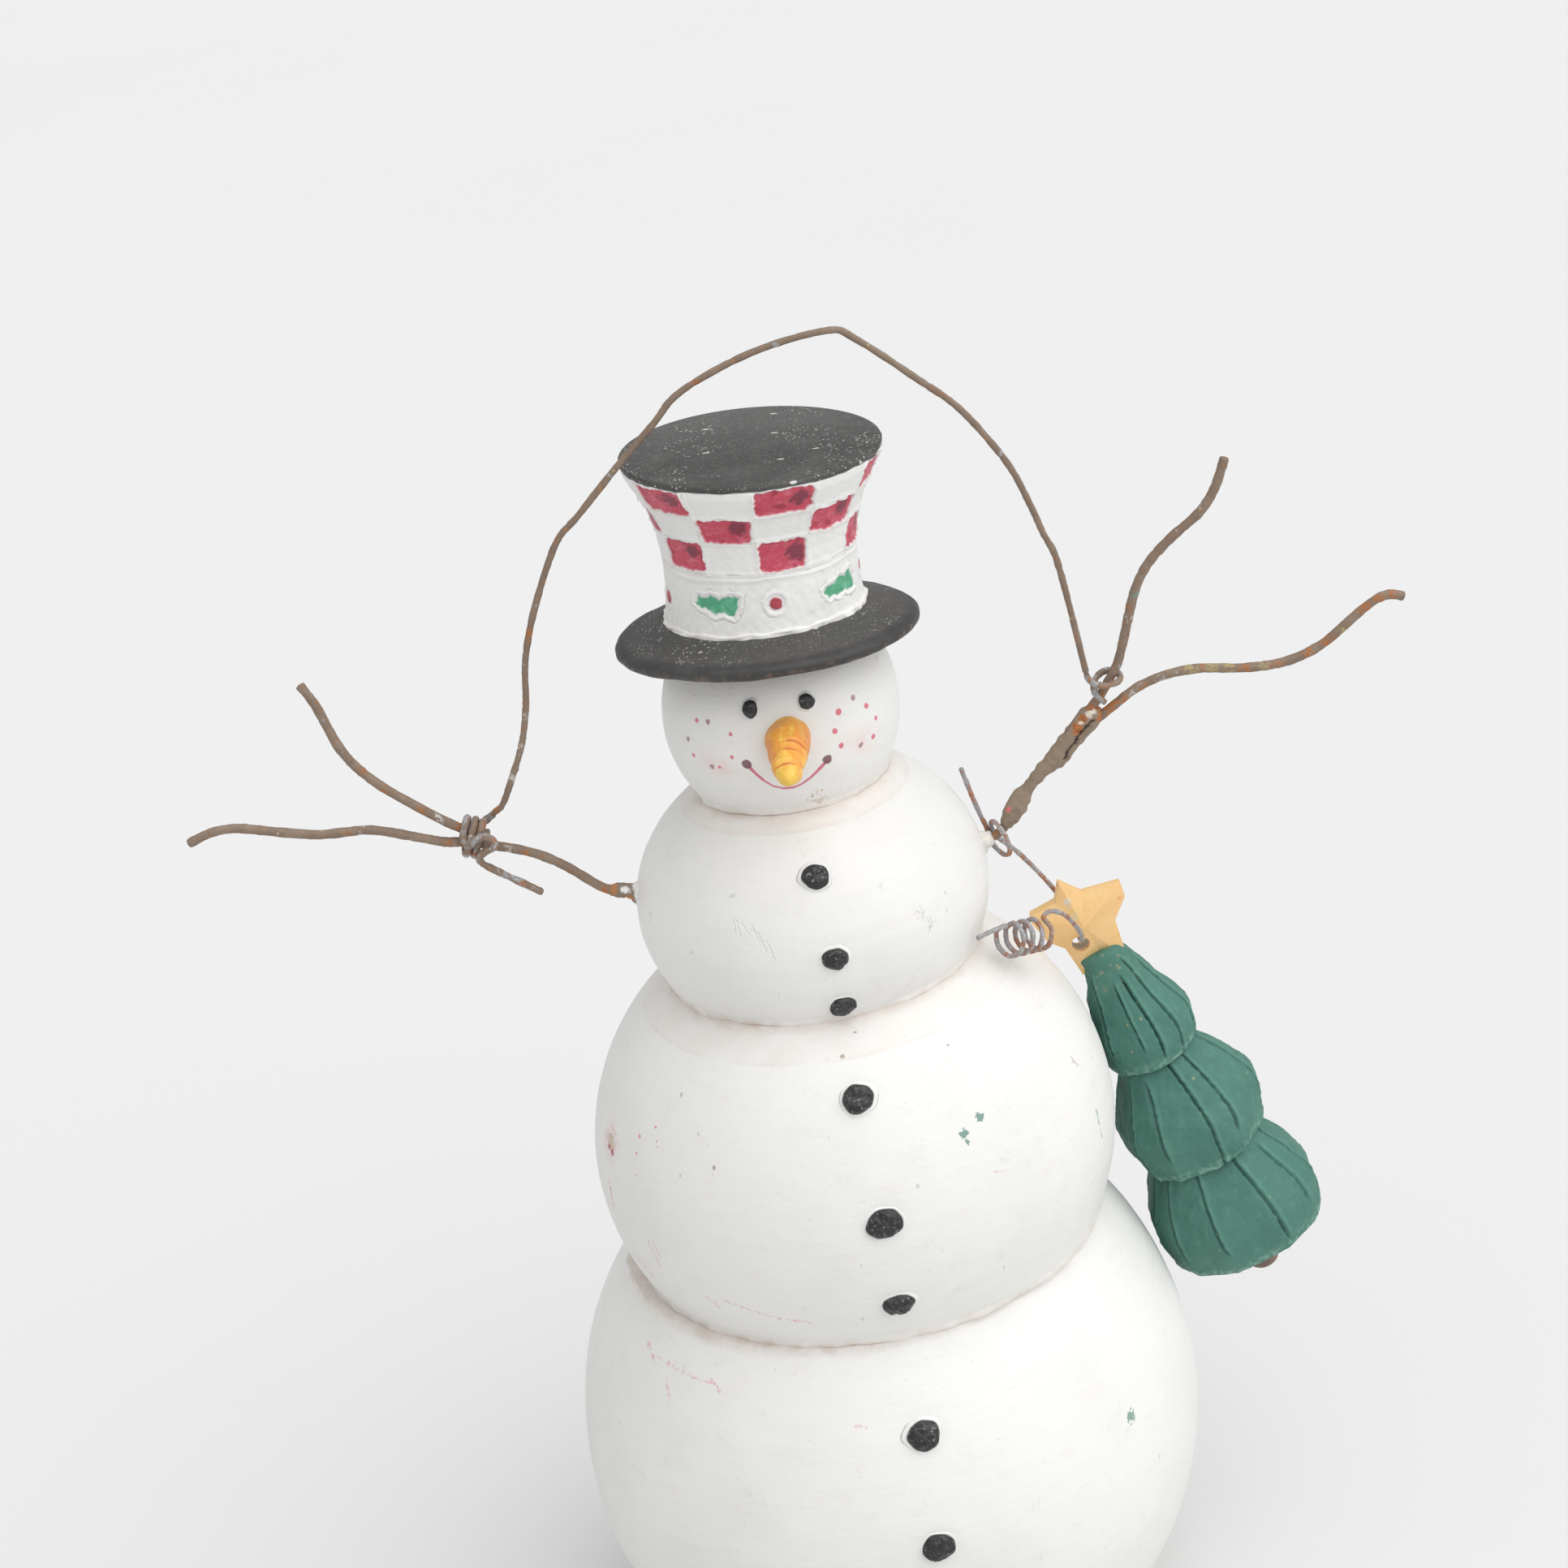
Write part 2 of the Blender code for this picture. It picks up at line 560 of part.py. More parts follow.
def pivot(name, place, parent=None):
    """An empty on a joint's axis, which carries the pieces that turn about it."""
    made = bpy.data.objects.new(name, None)
    bpy.context.scene.collection.objects.link(made)
    made.matrix_world = Matrix.Translation(millimetres(place))
    if parent is not None:
        carry(made, parent)
    return made


def carry(piece, parent):
    """Parents a piece and leaves it where it is."""
    bpy.context.view_layer.update()
    piece.parent = parent
    piece.matrix_parent_inverse = parent.matrix_world.inverted()


def handle(rust):
    bail = wire("handle_bail", smooth_route(HANDLE), TIE_WIRE, rust, 6)
    carry(bail, pivot("handle_pivot", HANDLE[0]))


def hanger(steel):
    """Tail, loop over the arm, straight run behind the star, bend through its hole, and coil."""
    sway, turn = math.radians(LOOP_SWAY), math.radians(LOOP_TURN)
    up = Vector((-math.sin(sway), 0, math.cos(sway)))
    level = Vector((math.cos(sway), 0, math.sin(sway)))
    along = level * math.cos(turn) + Vector((0, math.sin(turn), 0))
    front = along.cross(up)
    start = Vector(LOOP_CENTRE) - along * (LOOP_ADVANCE / 2)
    loop = helix(start, along, up, front, (LOOP_RADIUS,) * 2, -1.0, 255, LOOP_ADVANCE)
    tail = [(33.2, 3.4, 195.7), (34.4, 3.5, 190.0), (35.5, 3.6, 185.4), (36.6, 3.5, 181.6)]
    behind = [(42.5, 8.0, 173.0), (48.4, 15.6, 161.4), (51.6, 17.0, 154.6), (52.6, 16.2, 151.2)]
    through = [(52.8, 14.2, 150.2), (52.8, 12.0, 150.1), (52.8, 9.8, 150.1), (52.8, 8.2, 150.8)]
    curl = [(52.6, 6.0, 153.4), (51.4, 3.2, 157.0), (49.2, -1.2, 161.8), (46.3, -5.8, 165.4)]
    way = Vector(COIL_END) - Vector(COIL_START)
    axis = way.normalized()
    rise = (Vector((0, 0, 1)) - axis * axis.z).normalized()
    side = axis.cross(rise)
    size = (COIL_RADIUS, COIL_RADIUS)
    coil = helix(Vector(COIL_START), axis, rise, side, size, -COIL_TURNS, 0, way.length)
    end = [(32.8, -17.6, 169.1), (29.9, -20.0, 169.4)]
    route = smooth_route(tail + loop + behind + through + curl + coil + end, 2)
    made = wire("hanger_wire", route, HANGER_WIRE, steel, 6)
    holder = pivot("hanger_pivot", HANGER_PIVOT)
    carry(made, holder)
    return holder


def tree_axes():
    lean = math.radians(TREE_LEAN)
    down = Vector((math.sin(lean), 0, -math.cos(lean)))
    across = Vector((math.cos(lean), 0, math.sin(lean)))
    return down, across


def tree_ring(below, radius, offset, groove):
    """A ring of the tree's boughs, with every second point in a carved groove."""
    down, across = tree_axes()
    middle = Vector(TREE_TOP) + down * below + across * offset
    ring = []
    for step in range(TREE_SEGMENTS):
        turn = math.tau * step / TREE_SEGMENTS
        reach = radius * (groove if step % 2 else 1.0)
        outwards = across * math.cos(turn) + Vector((0, TREE_DEPTH * math.sin(turn), 0))
        ring.append(middle + outwards * reach)
    return ring


def star(finish):
    """A five-pointed star with ridges that rise to its centre on both faces, bored for the wire."""
    middle = Vector(STAR_CENTRE)
    shape = bmesh.new()
    front, back = [], []
    for degrees, reach in STAR_OUTLINE:
        turn = math.radians(degrees)
        place = middle + Vector((reach * math.cos(turn), 0, reach * math.sin(turn)))
        front.append(shape.verts.new(millimetres(place - Vector((0, STAR_EDGE, 0)))))
        back.append(shape.verts.new(millimetres(place + Vector((0, STAR_EDGE, 0)))))
    front_peak = shape.verts.new(millimetres(middle - Vector((0, STAR_RIDGE, 0))))
    back_peak = shape.verts.new(millimetres(middle + Vector((0, STAR_RIDGE, 0))))
    for step in range(len(front)):
        after = (step + 1) % len(front)
        shape.faces.new((front[step], front[after], front_peak))
        shape.faces.new((back[after], back[step], back_peak))
        shape.faces.new((front[after], front[step], back[step], back[after]))
    bmesh.ops.recalc_face_normals(shape, faces=shape.faces)
    mesh = bpy.data.meshes.new("star")
    shape.to_mesh(mesh)
    shape.free()
    made = add_object("star", mesh, finish)
    drill(made, "star_hole", Vector(STAR_HOLE) - Vector((0, 5, 0)), (0, 1, 0), STAR_HOLE_RADIUS, 12)
    return made


def slot_cutter():
    """Block that clears the top of the tree for the star's two lower points."""
    down, across = tree_axes()
    top = Vector(TREE_TOP)
    rings = []
    for below in (-8.0, SLOT_DEPTH):
        level = top + down * below
        corners = ((-1, -1), (1, -1), (1, 1), (-1, 1))
        wide, thick = across * SLOT_WIDE, Vector((0, SLOT_HALF, 0))
        rings.append([level + wide * p + thick * q for p, q in corners])
    return as_cutter(loft("slot_cutter", rings, None))


def tree(holder, pine, gold, bark):
    down, _ = tree_axes()
    rings = []
    for below, wide, offset in TREE_OUTLINE:
        rings.append(tree_ring(below, wide, offset, TREE_GROOVE if below > 0 else 1.0))
    boughs = loft("tree_boughs", rings, pine)
    cut(boughs, slot_cutter())
    radius, upper, lower = TRUNK
    top = Vector(TREE_TOP)
    underside = TREE_OUTLINE[-1][0]
    depth = underside - upper + GAP
    drill(boughs, "trunk", top + down * underside, -down, radius + GAP, depth, 16)
    ends = [top + down * upper, top + down * (lower - 0.8), top + down * lower]
    trunk = smooth(tube("tree_trunk", ends, (radius, radius, radius - 0.9), bark, 14))
    hung = pivot("tree_pivot", TREE_PIVOT, holder)
    for piece in (boughs, trunk, star(gold)):
        carry(piece, hung)


def build():
    clear_scene()
    white = material("white_paint", (0.86, 0.86, 0.84), 0.55)
    felt = material("black_paint", (0.03, 0.03, 0.03), 0.6)
    hat_white = material("hat_paint", (0.82, 0.81, 0.77), 0.6)
    timber = material("bare_beech", (0.62, 0.47, 0.31), 0.7)
    coal = material("coal", (0.02, 0.02, 0.022), 0.5)
    carrot = material("carrot_paint", (0.85, 0.42, 0.1), 0.5)
    rust = material("painted_wire", (0.22, 0.17, 0.13), 0.65, 0.3)
    clay = material("putty", (0.25, 0.2, 0.15), 0.8)
    steel = material("galvanised_wire", (0.35, 0.33, 0.33), 0.5, 0.8)
    pine = material("green_paint", (0.05, 0.22, 0.16), 0.6)
    gold = material("star_paint", (0.85, 0.53, 0.2), 0.6)
    bark = material("brown_paint", (0.2, 0.12, 0.09), 0.7)

    base, belly, chest, head = balls(white)
    dowel("base_dowel", BELLY_FOOT, BASE_DOWEL, timber)
    dowel("chest_dowel", CHEST_FOOT, CHEST_DOWEL, timber)
    dowel("head_dowel", HEAD_FOOT, HEAD_DOWEL, timber)
    hat(head, felt, hat_white, timber)
    nose(head, carrot)
    owners = {BASE: base, BELLY: belly, CHEST: chest, HEAD: head}
    for number, (name, ball, degrees, height, width, tall) in enumerate(LUMPS):
        place, inward, radius = lump(name, ball, degrees, height, width, tall, number, coal)
        drill(owners[ball], name, place, inward, radius, LUMP_SEAT_DEPTH, 12)
    arms(chest, rust, clay)
    knots(rust)
    handle(rust)
    tree(hanger(steel), pine, gold, bark)


build()
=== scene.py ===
"""Looks for the snowman figure: fine meshes and painted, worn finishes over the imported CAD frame.

The figure's lengths are in millimetres until a mesh is made; the studio's and the camera's are in
metres. Azimuth is in degrees round the upright axis, from the front of the figure towards +X.
"""

import math

import bmesh
import bpy
import numpy as np
from mathutils import Matrix, Vector


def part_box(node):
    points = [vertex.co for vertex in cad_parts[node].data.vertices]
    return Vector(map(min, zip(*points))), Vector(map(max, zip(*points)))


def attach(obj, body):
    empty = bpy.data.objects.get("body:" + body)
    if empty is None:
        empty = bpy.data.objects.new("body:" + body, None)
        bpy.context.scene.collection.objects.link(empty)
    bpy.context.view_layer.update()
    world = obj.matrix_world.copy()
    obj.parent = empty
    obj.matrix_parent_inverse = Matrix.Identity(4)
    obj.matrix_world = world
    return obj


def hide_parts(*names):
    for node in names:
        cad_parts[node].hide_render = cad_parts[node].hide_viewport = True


MM = 0.001

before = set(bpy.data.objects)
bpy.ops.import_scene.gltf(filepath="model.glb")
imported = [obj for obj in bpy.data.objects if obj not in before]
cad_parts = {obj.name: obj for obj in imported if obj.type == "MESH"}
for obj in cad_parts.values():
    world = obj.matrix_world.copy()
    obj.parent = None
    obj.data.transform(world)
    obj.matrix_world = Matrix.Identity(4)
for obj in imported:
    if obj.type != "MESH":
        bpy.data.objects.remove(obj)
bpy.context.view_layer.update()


# Shape helpers ------------------------------------------------------------------------------------


def ripple(points, length, seed):
    """Smooth unevenness between about -1 and 1 at points (any shape, then xyz), with this wavelength."""
    dice = np.random.default_rng(seed)
    total = np.zeros(points.shape[:-1])
    waves = 14
    for _ in range(waves):
        way = dice.normal(size=3)
        way *= math.tau / length / np.linalg.norm(way) * dice.uniform(0.6, 1.6)
        total += np.sin(points @ way + dice.uniform(0, math.tau))
    return total / math.sqrt(waves / 2) / 1.6


def blend_in(value, low, high):
    """0 below low and 1 above high, with eased ends."""
    share = np.clip((value - low) / (high - low), 0, 1)
    return share * share * (3 - 2 * share)


def near(distance, reach, edge):
    """1 within reach, falling to 0 over the edge's width."""
    return 1 - blend_in(distance, reach - edge / 2, reach + edge / 2)


def hump(offset, width):
    """1 at no offset, falling away on both sides over about this width."""
    return np.exp(-((offset / width) ** 2))


def place_mesh(name, points, faces, finish, marks, angle):
    """A smooth mesh from points in millimetres, with named values at its points."""
    mesh = bpy.data.meshes.new(name)
    mesh.from_pydata((np.asarray(points) * MM).tolist(), [], faces)
    for key, values in marks.items():
        mesh.attributes.new(key, "FLOAT", "POINT").data.foreach_set("value", values.astype(np.float32))
    shape = bmesh.new()
    shape.from_mesh(mesh)
    bmesh.ops.recalc_face_normals(shape, faces=shape.faces)
    shape.to_mesh(mesh)
    shape.free()
    mesh.shade_smooth()
    if angle is not None:
        mesh.set_sharp_from_angle(angle=math.radians(angle))
    mesh.materials.append(finish)
    made = bpy.data.objects.new(name, mesh)
    bpy.context.scene.collection.objects.link(made)
    return made


def shell(name, rings, finish, marks=None, angle=None):
    """A closed body through rings, an array (ring, point, xyz), with a fan at each end."""
    rows, count = rings.shape[:2]
    points = [*rings.reshape(-1, 3), rings[0].mean(0), rings[-1].mean(0)]
    step = np.arange(count)
    after = (step + 1) % count
    faces = []
    for row in range(rows - 1):
        low, high = row * count, (row + 1) * count
        faces += np.stack([low + step, low + after, high + after, high + step], 1).tolist()
    last = (rows - 1) * count
    first_hub, last_hub = rows * count, rows * count + 1
    faces += np.stack([after, step, np.full(count, first_hub)], 1).tolist()
    faces += np.stack([last + step, last + after, np.full(count, last_hub)], 1).tolist()
    flat = {}
    for key, values in (marks or {}).items():
        flat[key] = np.concatenate([values.ravel(), [values[0].mean(), values[-1].mean()]])
    return place_mesh(name, points, faces, finish, flat, angle)


def round_steps(count):
    """Even steps round the upright axis, as azimuths."""
    return 360 * np.arange(count) / count


def spin_rings(radius, height, azimuth, centre=(0, 0)):
    """Rings about an upright axis: radius and height may differ at each azimuth (in degrees)."""
    turn = np.radians(azimuth)
    radius, height = np.broadcast_arrays(radius, height)
    return np.stack(
        [centre[0] + radius * np.sin(turn), centre[1] - radius * np.cos(turn), height + 0 * turn], -1
    )


def outward_of(rings):
    """Unit directions out of the rings of a shell, from its own slopes."""
    round_way = np.roll(rings, -1, 1) - np.roll(rings, 1, 1)
    up_way = np.gradient(rings, axis=0)
    out = np.cross(round_way, up_way)
    length = np.linalg.norm(out, axis=-1, keepdims=True)
    return out / np.maximum(length, 1e-9)


def moved(rings, matrix):
    """Rings turned and moved by a matrix whose lengths are in millimetres."""
    turn = np.array(matrix.to_3x3())
    return rings @ turn.T + np.array(matrix.translation)


def smooth_line(points, per_span):
    """More points along a smooth curve through the given ones (a Catmull-Rom spline)."""
    known = [np.asarray(point, float) for point in points]
    known = [2 * known[0] - known[1], *known, 2 * known[-1] - known[-2]]
    line = []
    for a, b, c, d in zip(known, known[1:], known[2:], known[3:]):
        for step in range(per_span):
            t = step / per_span
            bend = (2 * a - 5 * b + 4 * c - d) * t**2 + (3 * b - a - 3 * c + d) * t**3
            line.append(b + 0.5 * ((c - a) * t + bend))
    line.append(known[-2])
    return np.array(line)


def middle_of(node):
    """The middle line of a round CAD wire: the middle of each of its rings, from end to end."""
    shape = bmesh.new()
    shape.from_mesh(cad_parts[node].data)
    bmesh.ops.remove_doubles(shape, verts=shape.verts, dist=2e-6)
    shape.verts.ensure_lookup_table()
    ring = end_ring(shape)
    seen = set(ring)
    line = []
    while ring:
        line.append(sum((shape.verts[i].co for i in ring), Vector()) / len(ring) / MM)
        beside = {e.other_vert(shape.verts[i]).index for i in ring for e in shape.verts[i].link_edges}
        ring = beside - seen
        seen |= ring
    shape.free()
    return np.array(line)


def end_ring(shape):
    """Numbers of the points round one flat end of a wire's mesh."""
    trial = shape.copy()
    trial.verts.ensure_lookup_table()
    numbers = {tuple(round(c, 7) for c in v.co): v.index for v in trial.verts}
    bmesh.ops.dissolve_limit(
        trial, angle_limit=math.radians(0.6), verts=trial.verts, edges=trial.edges
    )
    best = None
    for face in trial.faces:
        if len(face.verts) < 5:
            continue
        centre = face.calc_center_median()
        reach = [(v.co - centre).length for v in face.verts]
        uneven = (max(reach) - min(reach)) / max(reach)
        if best is None or uneven < best[0]:
            best = (uneven, [numbers[tuple(round(c, 7) for c in v.co)] for v in face.verts])
    trial.free()
    return set(best[1])


def tube_rings(line, radii, sides, squash=None):
    """Rings of a tube along a line. squash is (direction, share): it's flattened that way."""
    line = np.asarray(line, float)
    ahead = np.gradient(line, axis=0)
    ahead /= np.linalg.norm(ahead, axis=1, keepdims=True)
    side = np.cross(ahead[0], (0.3, 0.9, 0.2))
    side /= np.linalg.norm(side)
    turn = math.tau * np.arange(sides) / sides
    rings = []
    for point, way, radius in zip(line, ahead, radii):
        side = side - way * (side @ way)
        side /= np.linalg.norm(side)
        other = np.cross(way, side)
        ring = np.outer(np.cos(turn), side) + np.outer(np.sin(turn), other)
        if squash is not None:
            flat = np.array(squash[0], float)
            ring = ring - np.outer(ring @ flat, flat) * (1 - squash[1])
        rings.append(point + ring * radius)
    return np.array(rings)


def rounded_ends(radii, steps):
    """Radii with both ends of a tube eased in."""
    shaped = np.array(radii, float)
    for step in range(steps):
        share = math.sqrt(1 - (1 - (step + 0.35) / steps) ** 2)
        shaped[step] *= share
        shaped[-1 - step] *= share
    return shaped


def blunt_ends(line, radii):
    """A tube's line and radii with short rounded tips added inside its length."""
    share, step = np.array([0.45, 0.82]), np.array([[0.0], [0.10]])
    for _ in range(2):
        ahead = (line[1] - line[0]) / np.linalg.norm(line[1] - line[0])
        tip = line[0] + ahead * step * radii[0]
        line = np.concatenate([tip, line[:1] + ahead * 0.35 * radii[0], line[1:]])[::-1]
        radii = np.concatenate([share * radii[0], radii])[::-1]
    return line, radii


# Finishes -----------------------------------------------------------------------------------------


class Finish:
    """A node material. Its patterns are laid out on the piece itself, in millimetres at rest."""

    def __init__(self, name, colour, roughness):
        self.material = bpy.data.materials.new(name)
        self.material.use_nodes = True
        self.tree = self.material.node_tree
        self.shader = self.tree.nodes["Principled BSDF"]
        self.colour = (*colour, 1.0)
        self.roughness = roughness
        self.height = None
        where = self.tree.nodes.new("ShaderNodeTexCoord").outputs["Object"]
        self.place = self.vector("SCALE", where, Scale=1 / MM)

    def node(self, kind, values, **settings):
        made = self.tree.nodes.new(kind)
        for key, value in settings.items():
            setattr(made, key, value)
        for key, value in values.items():
            if isinstance(value, bpy.types.NodeSocket):
                self.tree.links.new(value, made.inputs[key])
            else:
                made.inputs[key].default_value = value
        return made

    def vector(self, operation, first, second=None, **values):
        inputs = {0: first, **values}
        if second is not None:
            inputs[1] = second
        made = self.node("ShaderNodeVectorMath", inputs, operation=operation)
        return made.outputs["Value" if operation in ("DISTANCE", "DOT_PRODUCT") else "Vector"]

    def sum(self, operation, *values):
        made = self.node("ShaderNodeMath", dict(enumerate(values)), operation=operation)
        return made.outputs[0]

    def axis(self, name):
        return self.node("ShaderNodeSeparateXYZ", {0: self.place}).outputs[name]

    def mark(self, name):
        """A named value held by the mesh's points."""
        return self.node("ShaderNodeAttribute", {}, attribute_name=name).outputs["Fac"]

    def spread(self, value, low, high):
        """0 at low and 1 at high (low may be the larger), with eased ends."""
        made = self.node(
            "ShaderNodeMapRange", {0: value, 1: low, 2: high, 3: 0.0, 4: 1.0},
            interpolation_type="SMOOTHSTEP",
        )
        return made.outputs[0]

    def noise(self, size, stretch=(1, 1, 1), detail=3.0, shift=0.0):
        """Cloudy noise from 0 to 1 whose blotches are about this many millimetres."""
        place = self.vector("MULTIPLY", self.place, stretch)
        place = self.vector("ADD", place, (shift, shift, shift))
        made = self.node(
            "ShaderNodeTexNoise", {"Vector": place, "Scale": 1 / size, "Detail": detail, "Roughness": 0.6}
        )
        return made.outputs[0]

    def cloud(self, low, high, *shape, **settings):
        """Blotches: 0 where noise of this shape is at low, 1 where it's at high."""
        return self.spread(self.noise(*shape, **settings), low, high)

    def specks(self, spacing, size, share, stretch=(1, 1, 1), shift=0.0):
        """Scattered specks: spacing and size in millimetres, and the share of places that have one."""
        wander = self.node("ShaderNodeTexNoise", {"Vector": self.place, "Scale": 1.3 / size, "Detail": 2.0})
        wander = self.vector("SCALE", wander.outputs["Color"], Scale=size * 0.9)
        place = self.vector("ADD", self.place, wander)
        place = self.vector("MULTIPLY", place, stretch)
        place = self.vector("ADD", place, (shift, shift, shift))
        made = self.node("ShaderNodeTexVoronoi", {"Vector": place, "Scale": 1 / spacing})
        speck = self.spread(made.outputs["Distance"], size / spacing, 0.6 * size / spacing)
        colour = self.node("ShaderNodeSeparateColor", {0: made.outputs["Color"]})
        chosen = self.spread(colour.outputs[0], 1 - share, 1.001 - share)
        return self.sum("MULTIPLY", speck, chosen)

    def wobbly(self, amount, size):
        """The place, pushed about by this many millimetres."""
        push = self.node("ShaderNodeTexNoise", {"Vector": self.place, "Scale": 1 / size, "Detail": 2.0})
        push = self.vector("SUBTRACT", push.outputs["Color"], (0.5, 0.5, 0.5))
        push = self.vector("SCALE", push, Scale=amount * 2)
        return self.vector("ADD", self.place, push)

    def spots(self, spots, uneven, edge=0.3):
        """Soft-edged spots, each ((x, y, z), radius)."""
        place = self.wobbly(uneven, 0.9)
        mask = None
        for centre, radius in spots:
            away = self.vector("DISTANCE", place, tuple(centre))
            spot = self.spread(away, radius + edge / 2, radius - edge / 2)
            mask = spot if mask is None else self.sum("MAXIMUM", mask, spot)
        return mask

    def strokes(self, strokes, uneven, edge):
        """Straight marks, each (first end, second end, half width)."""
        place = self.wobbly(uneven, 1.2)
        mask = None
        for first, second, half in strokes:
            first, second = Vector(first), Vector(second)
            way = second - first
            from_first = self.vector("SUBTRACT", place, tuple(first))
            along = self.vector("DOT_PRODUCT", from_first, tuple(way / way.length_squared))
            along = self.node("ShaderNodeClamp", {0: along}).outputs[0]
            nearest = self.vector("SCALE", tuple(way), Scale=along)
            away = self.vector("DISTANCE", from_first, nearest)
            stroke = self.spread(away, half + edge / 2, max(half - edge / 2, 0.0))
            mask = stroke if mask is None else self.sum("MAXIMUM", mask, stroke)
        return mask

    def both(self, *masks):
        """Where all of the masks are."""
        product = masks[0]
        for mask in masks[1:]:
            product = self.sum("MULTIPLY", product, mask)
        return product

    def over(self, mask, colour, strength=1.0, roughness=None):
        """Paints a colour over what is there, where the mask is."""
        if strength != 1.0:
            mask = self.scaled(mask, strength)
        made = self.node(
            "ShaderNodeMix", {0: mask, 6: self.colour, 7: (*colour, 1.0)}, data_type="RGBA"
        )
        self.colour = made.outputs[2]
        if roughness is not None:
            self.rougher(mask, roughness)

    def scaled(self, mask, strength):
        made = self.node("ShaderNodeMapRange", {0: mask, 1: 0.0, 2: 1.0, 3: 0.0, 4: strength})
        return made.outputs[0]

    def rougher(self, mask, roughness):
        made = self.node("ShaderNodeMix", {0: mask, 2: self.roughness, 3: roughness})
        self.roughness = made.outputs[0]

    def raised(self, pattern, amount):
        """Adds a pattern to the surface's fine relief, amount in millimetres."""
        step = self.scaled(pattern, amount)
        self.height = step if self.height is None else self.sum("ADD", self.height, step)

    def done(self):
        links, shader = self.tree.links, self.shader
        links.new(self.colour, shader.inputs["Base Color"])
        if isinstance(self.roughness, float):
            shader.inputs["Roughness"].default_value = self.roughness
        else:
            links.new(self.roughness, shader.inputs["Roughness"])
        if self.height is not None:
            bump = self.node("ShaderNodeBump", {"Height": self.height, "Distance": MM, "Strength": 1.0})
            links.new(bump.outputs[0], shader.inputs["Normal"])
        return self.material


# Sizes that the pieces share ------------------------------------------------------------------------

# Centre x, centre z, half width and half height of each ball.
BASE = (-2.5, 55.0, 66.0, 67.3)
BELLY = (0.0, 122.5, 54.0, 50.0)
CHEST = (0.0, 177.1, 35.6, 29.6)
HEAD = (0.0, 217.1, 23.5, 24.6)
# Heights at which a ball meets the one above it.
BASE_JOINT = 100.5
BELLY_JOINT = 163.2
CHEST_JOINT = 202.3
HAT_SEAT = 233.25
HAT_LEAN = 4.2
BRIM_LEAN = 2.4
BRIM_NOD = -2.6


def on_ball(ball, azimuth, height):
    """Point on a ball, its height measured from the ball's centre, and the direction out of it."""
    centre_x, centre_z, half_width, half_height = ball
    ring = half_width * math.sqrt(1 - (height / half_height) ** 2)
    turn = math.radians(azimuth)
    offset = Vector((ring * math.sin(turn), -ring * math.cos(turn), height))
    way = Vector((offset.x / half_width**2, offset.y / half_width**2, height / half_height**2))
    way.normalize()
    return Vector((centre_x, 0, centre_z)) + offset, way


def at(ball, azimuth, height):
    return tuple(on_ball(ball, azimuth, height)[0])


def spots_on(ball, *spots):
    """Spots for a finish, from (azimuth, height, radius) on a ball."""
    return [(at(ball, azimuth, height), radius) for azimuth, height, radius in spots]


def strokes_on(ball, *strokes):
    """Strokes for a finish, from (azimuth, height, azimuth run, fall, half width) on a ball."""
    return [
        (at(ball, azimuth, height), at(ball, azimuth + run, height - fall), wide)
        for azimuth, height, run, fall, wide in strokes
    ]


# White body ---------------------------------------------------------------------------------------

GESSO = (0.83, 0.825, 0.805)
GREY = (0.40, 0.37, 0.34)
BEIGE = (0.76, 0.66, 0.60)
PINK = (0.72, 0.16, 0.22)
CHIP = (-71.9, 14.4)  # azimuth and height of a chip on the belly


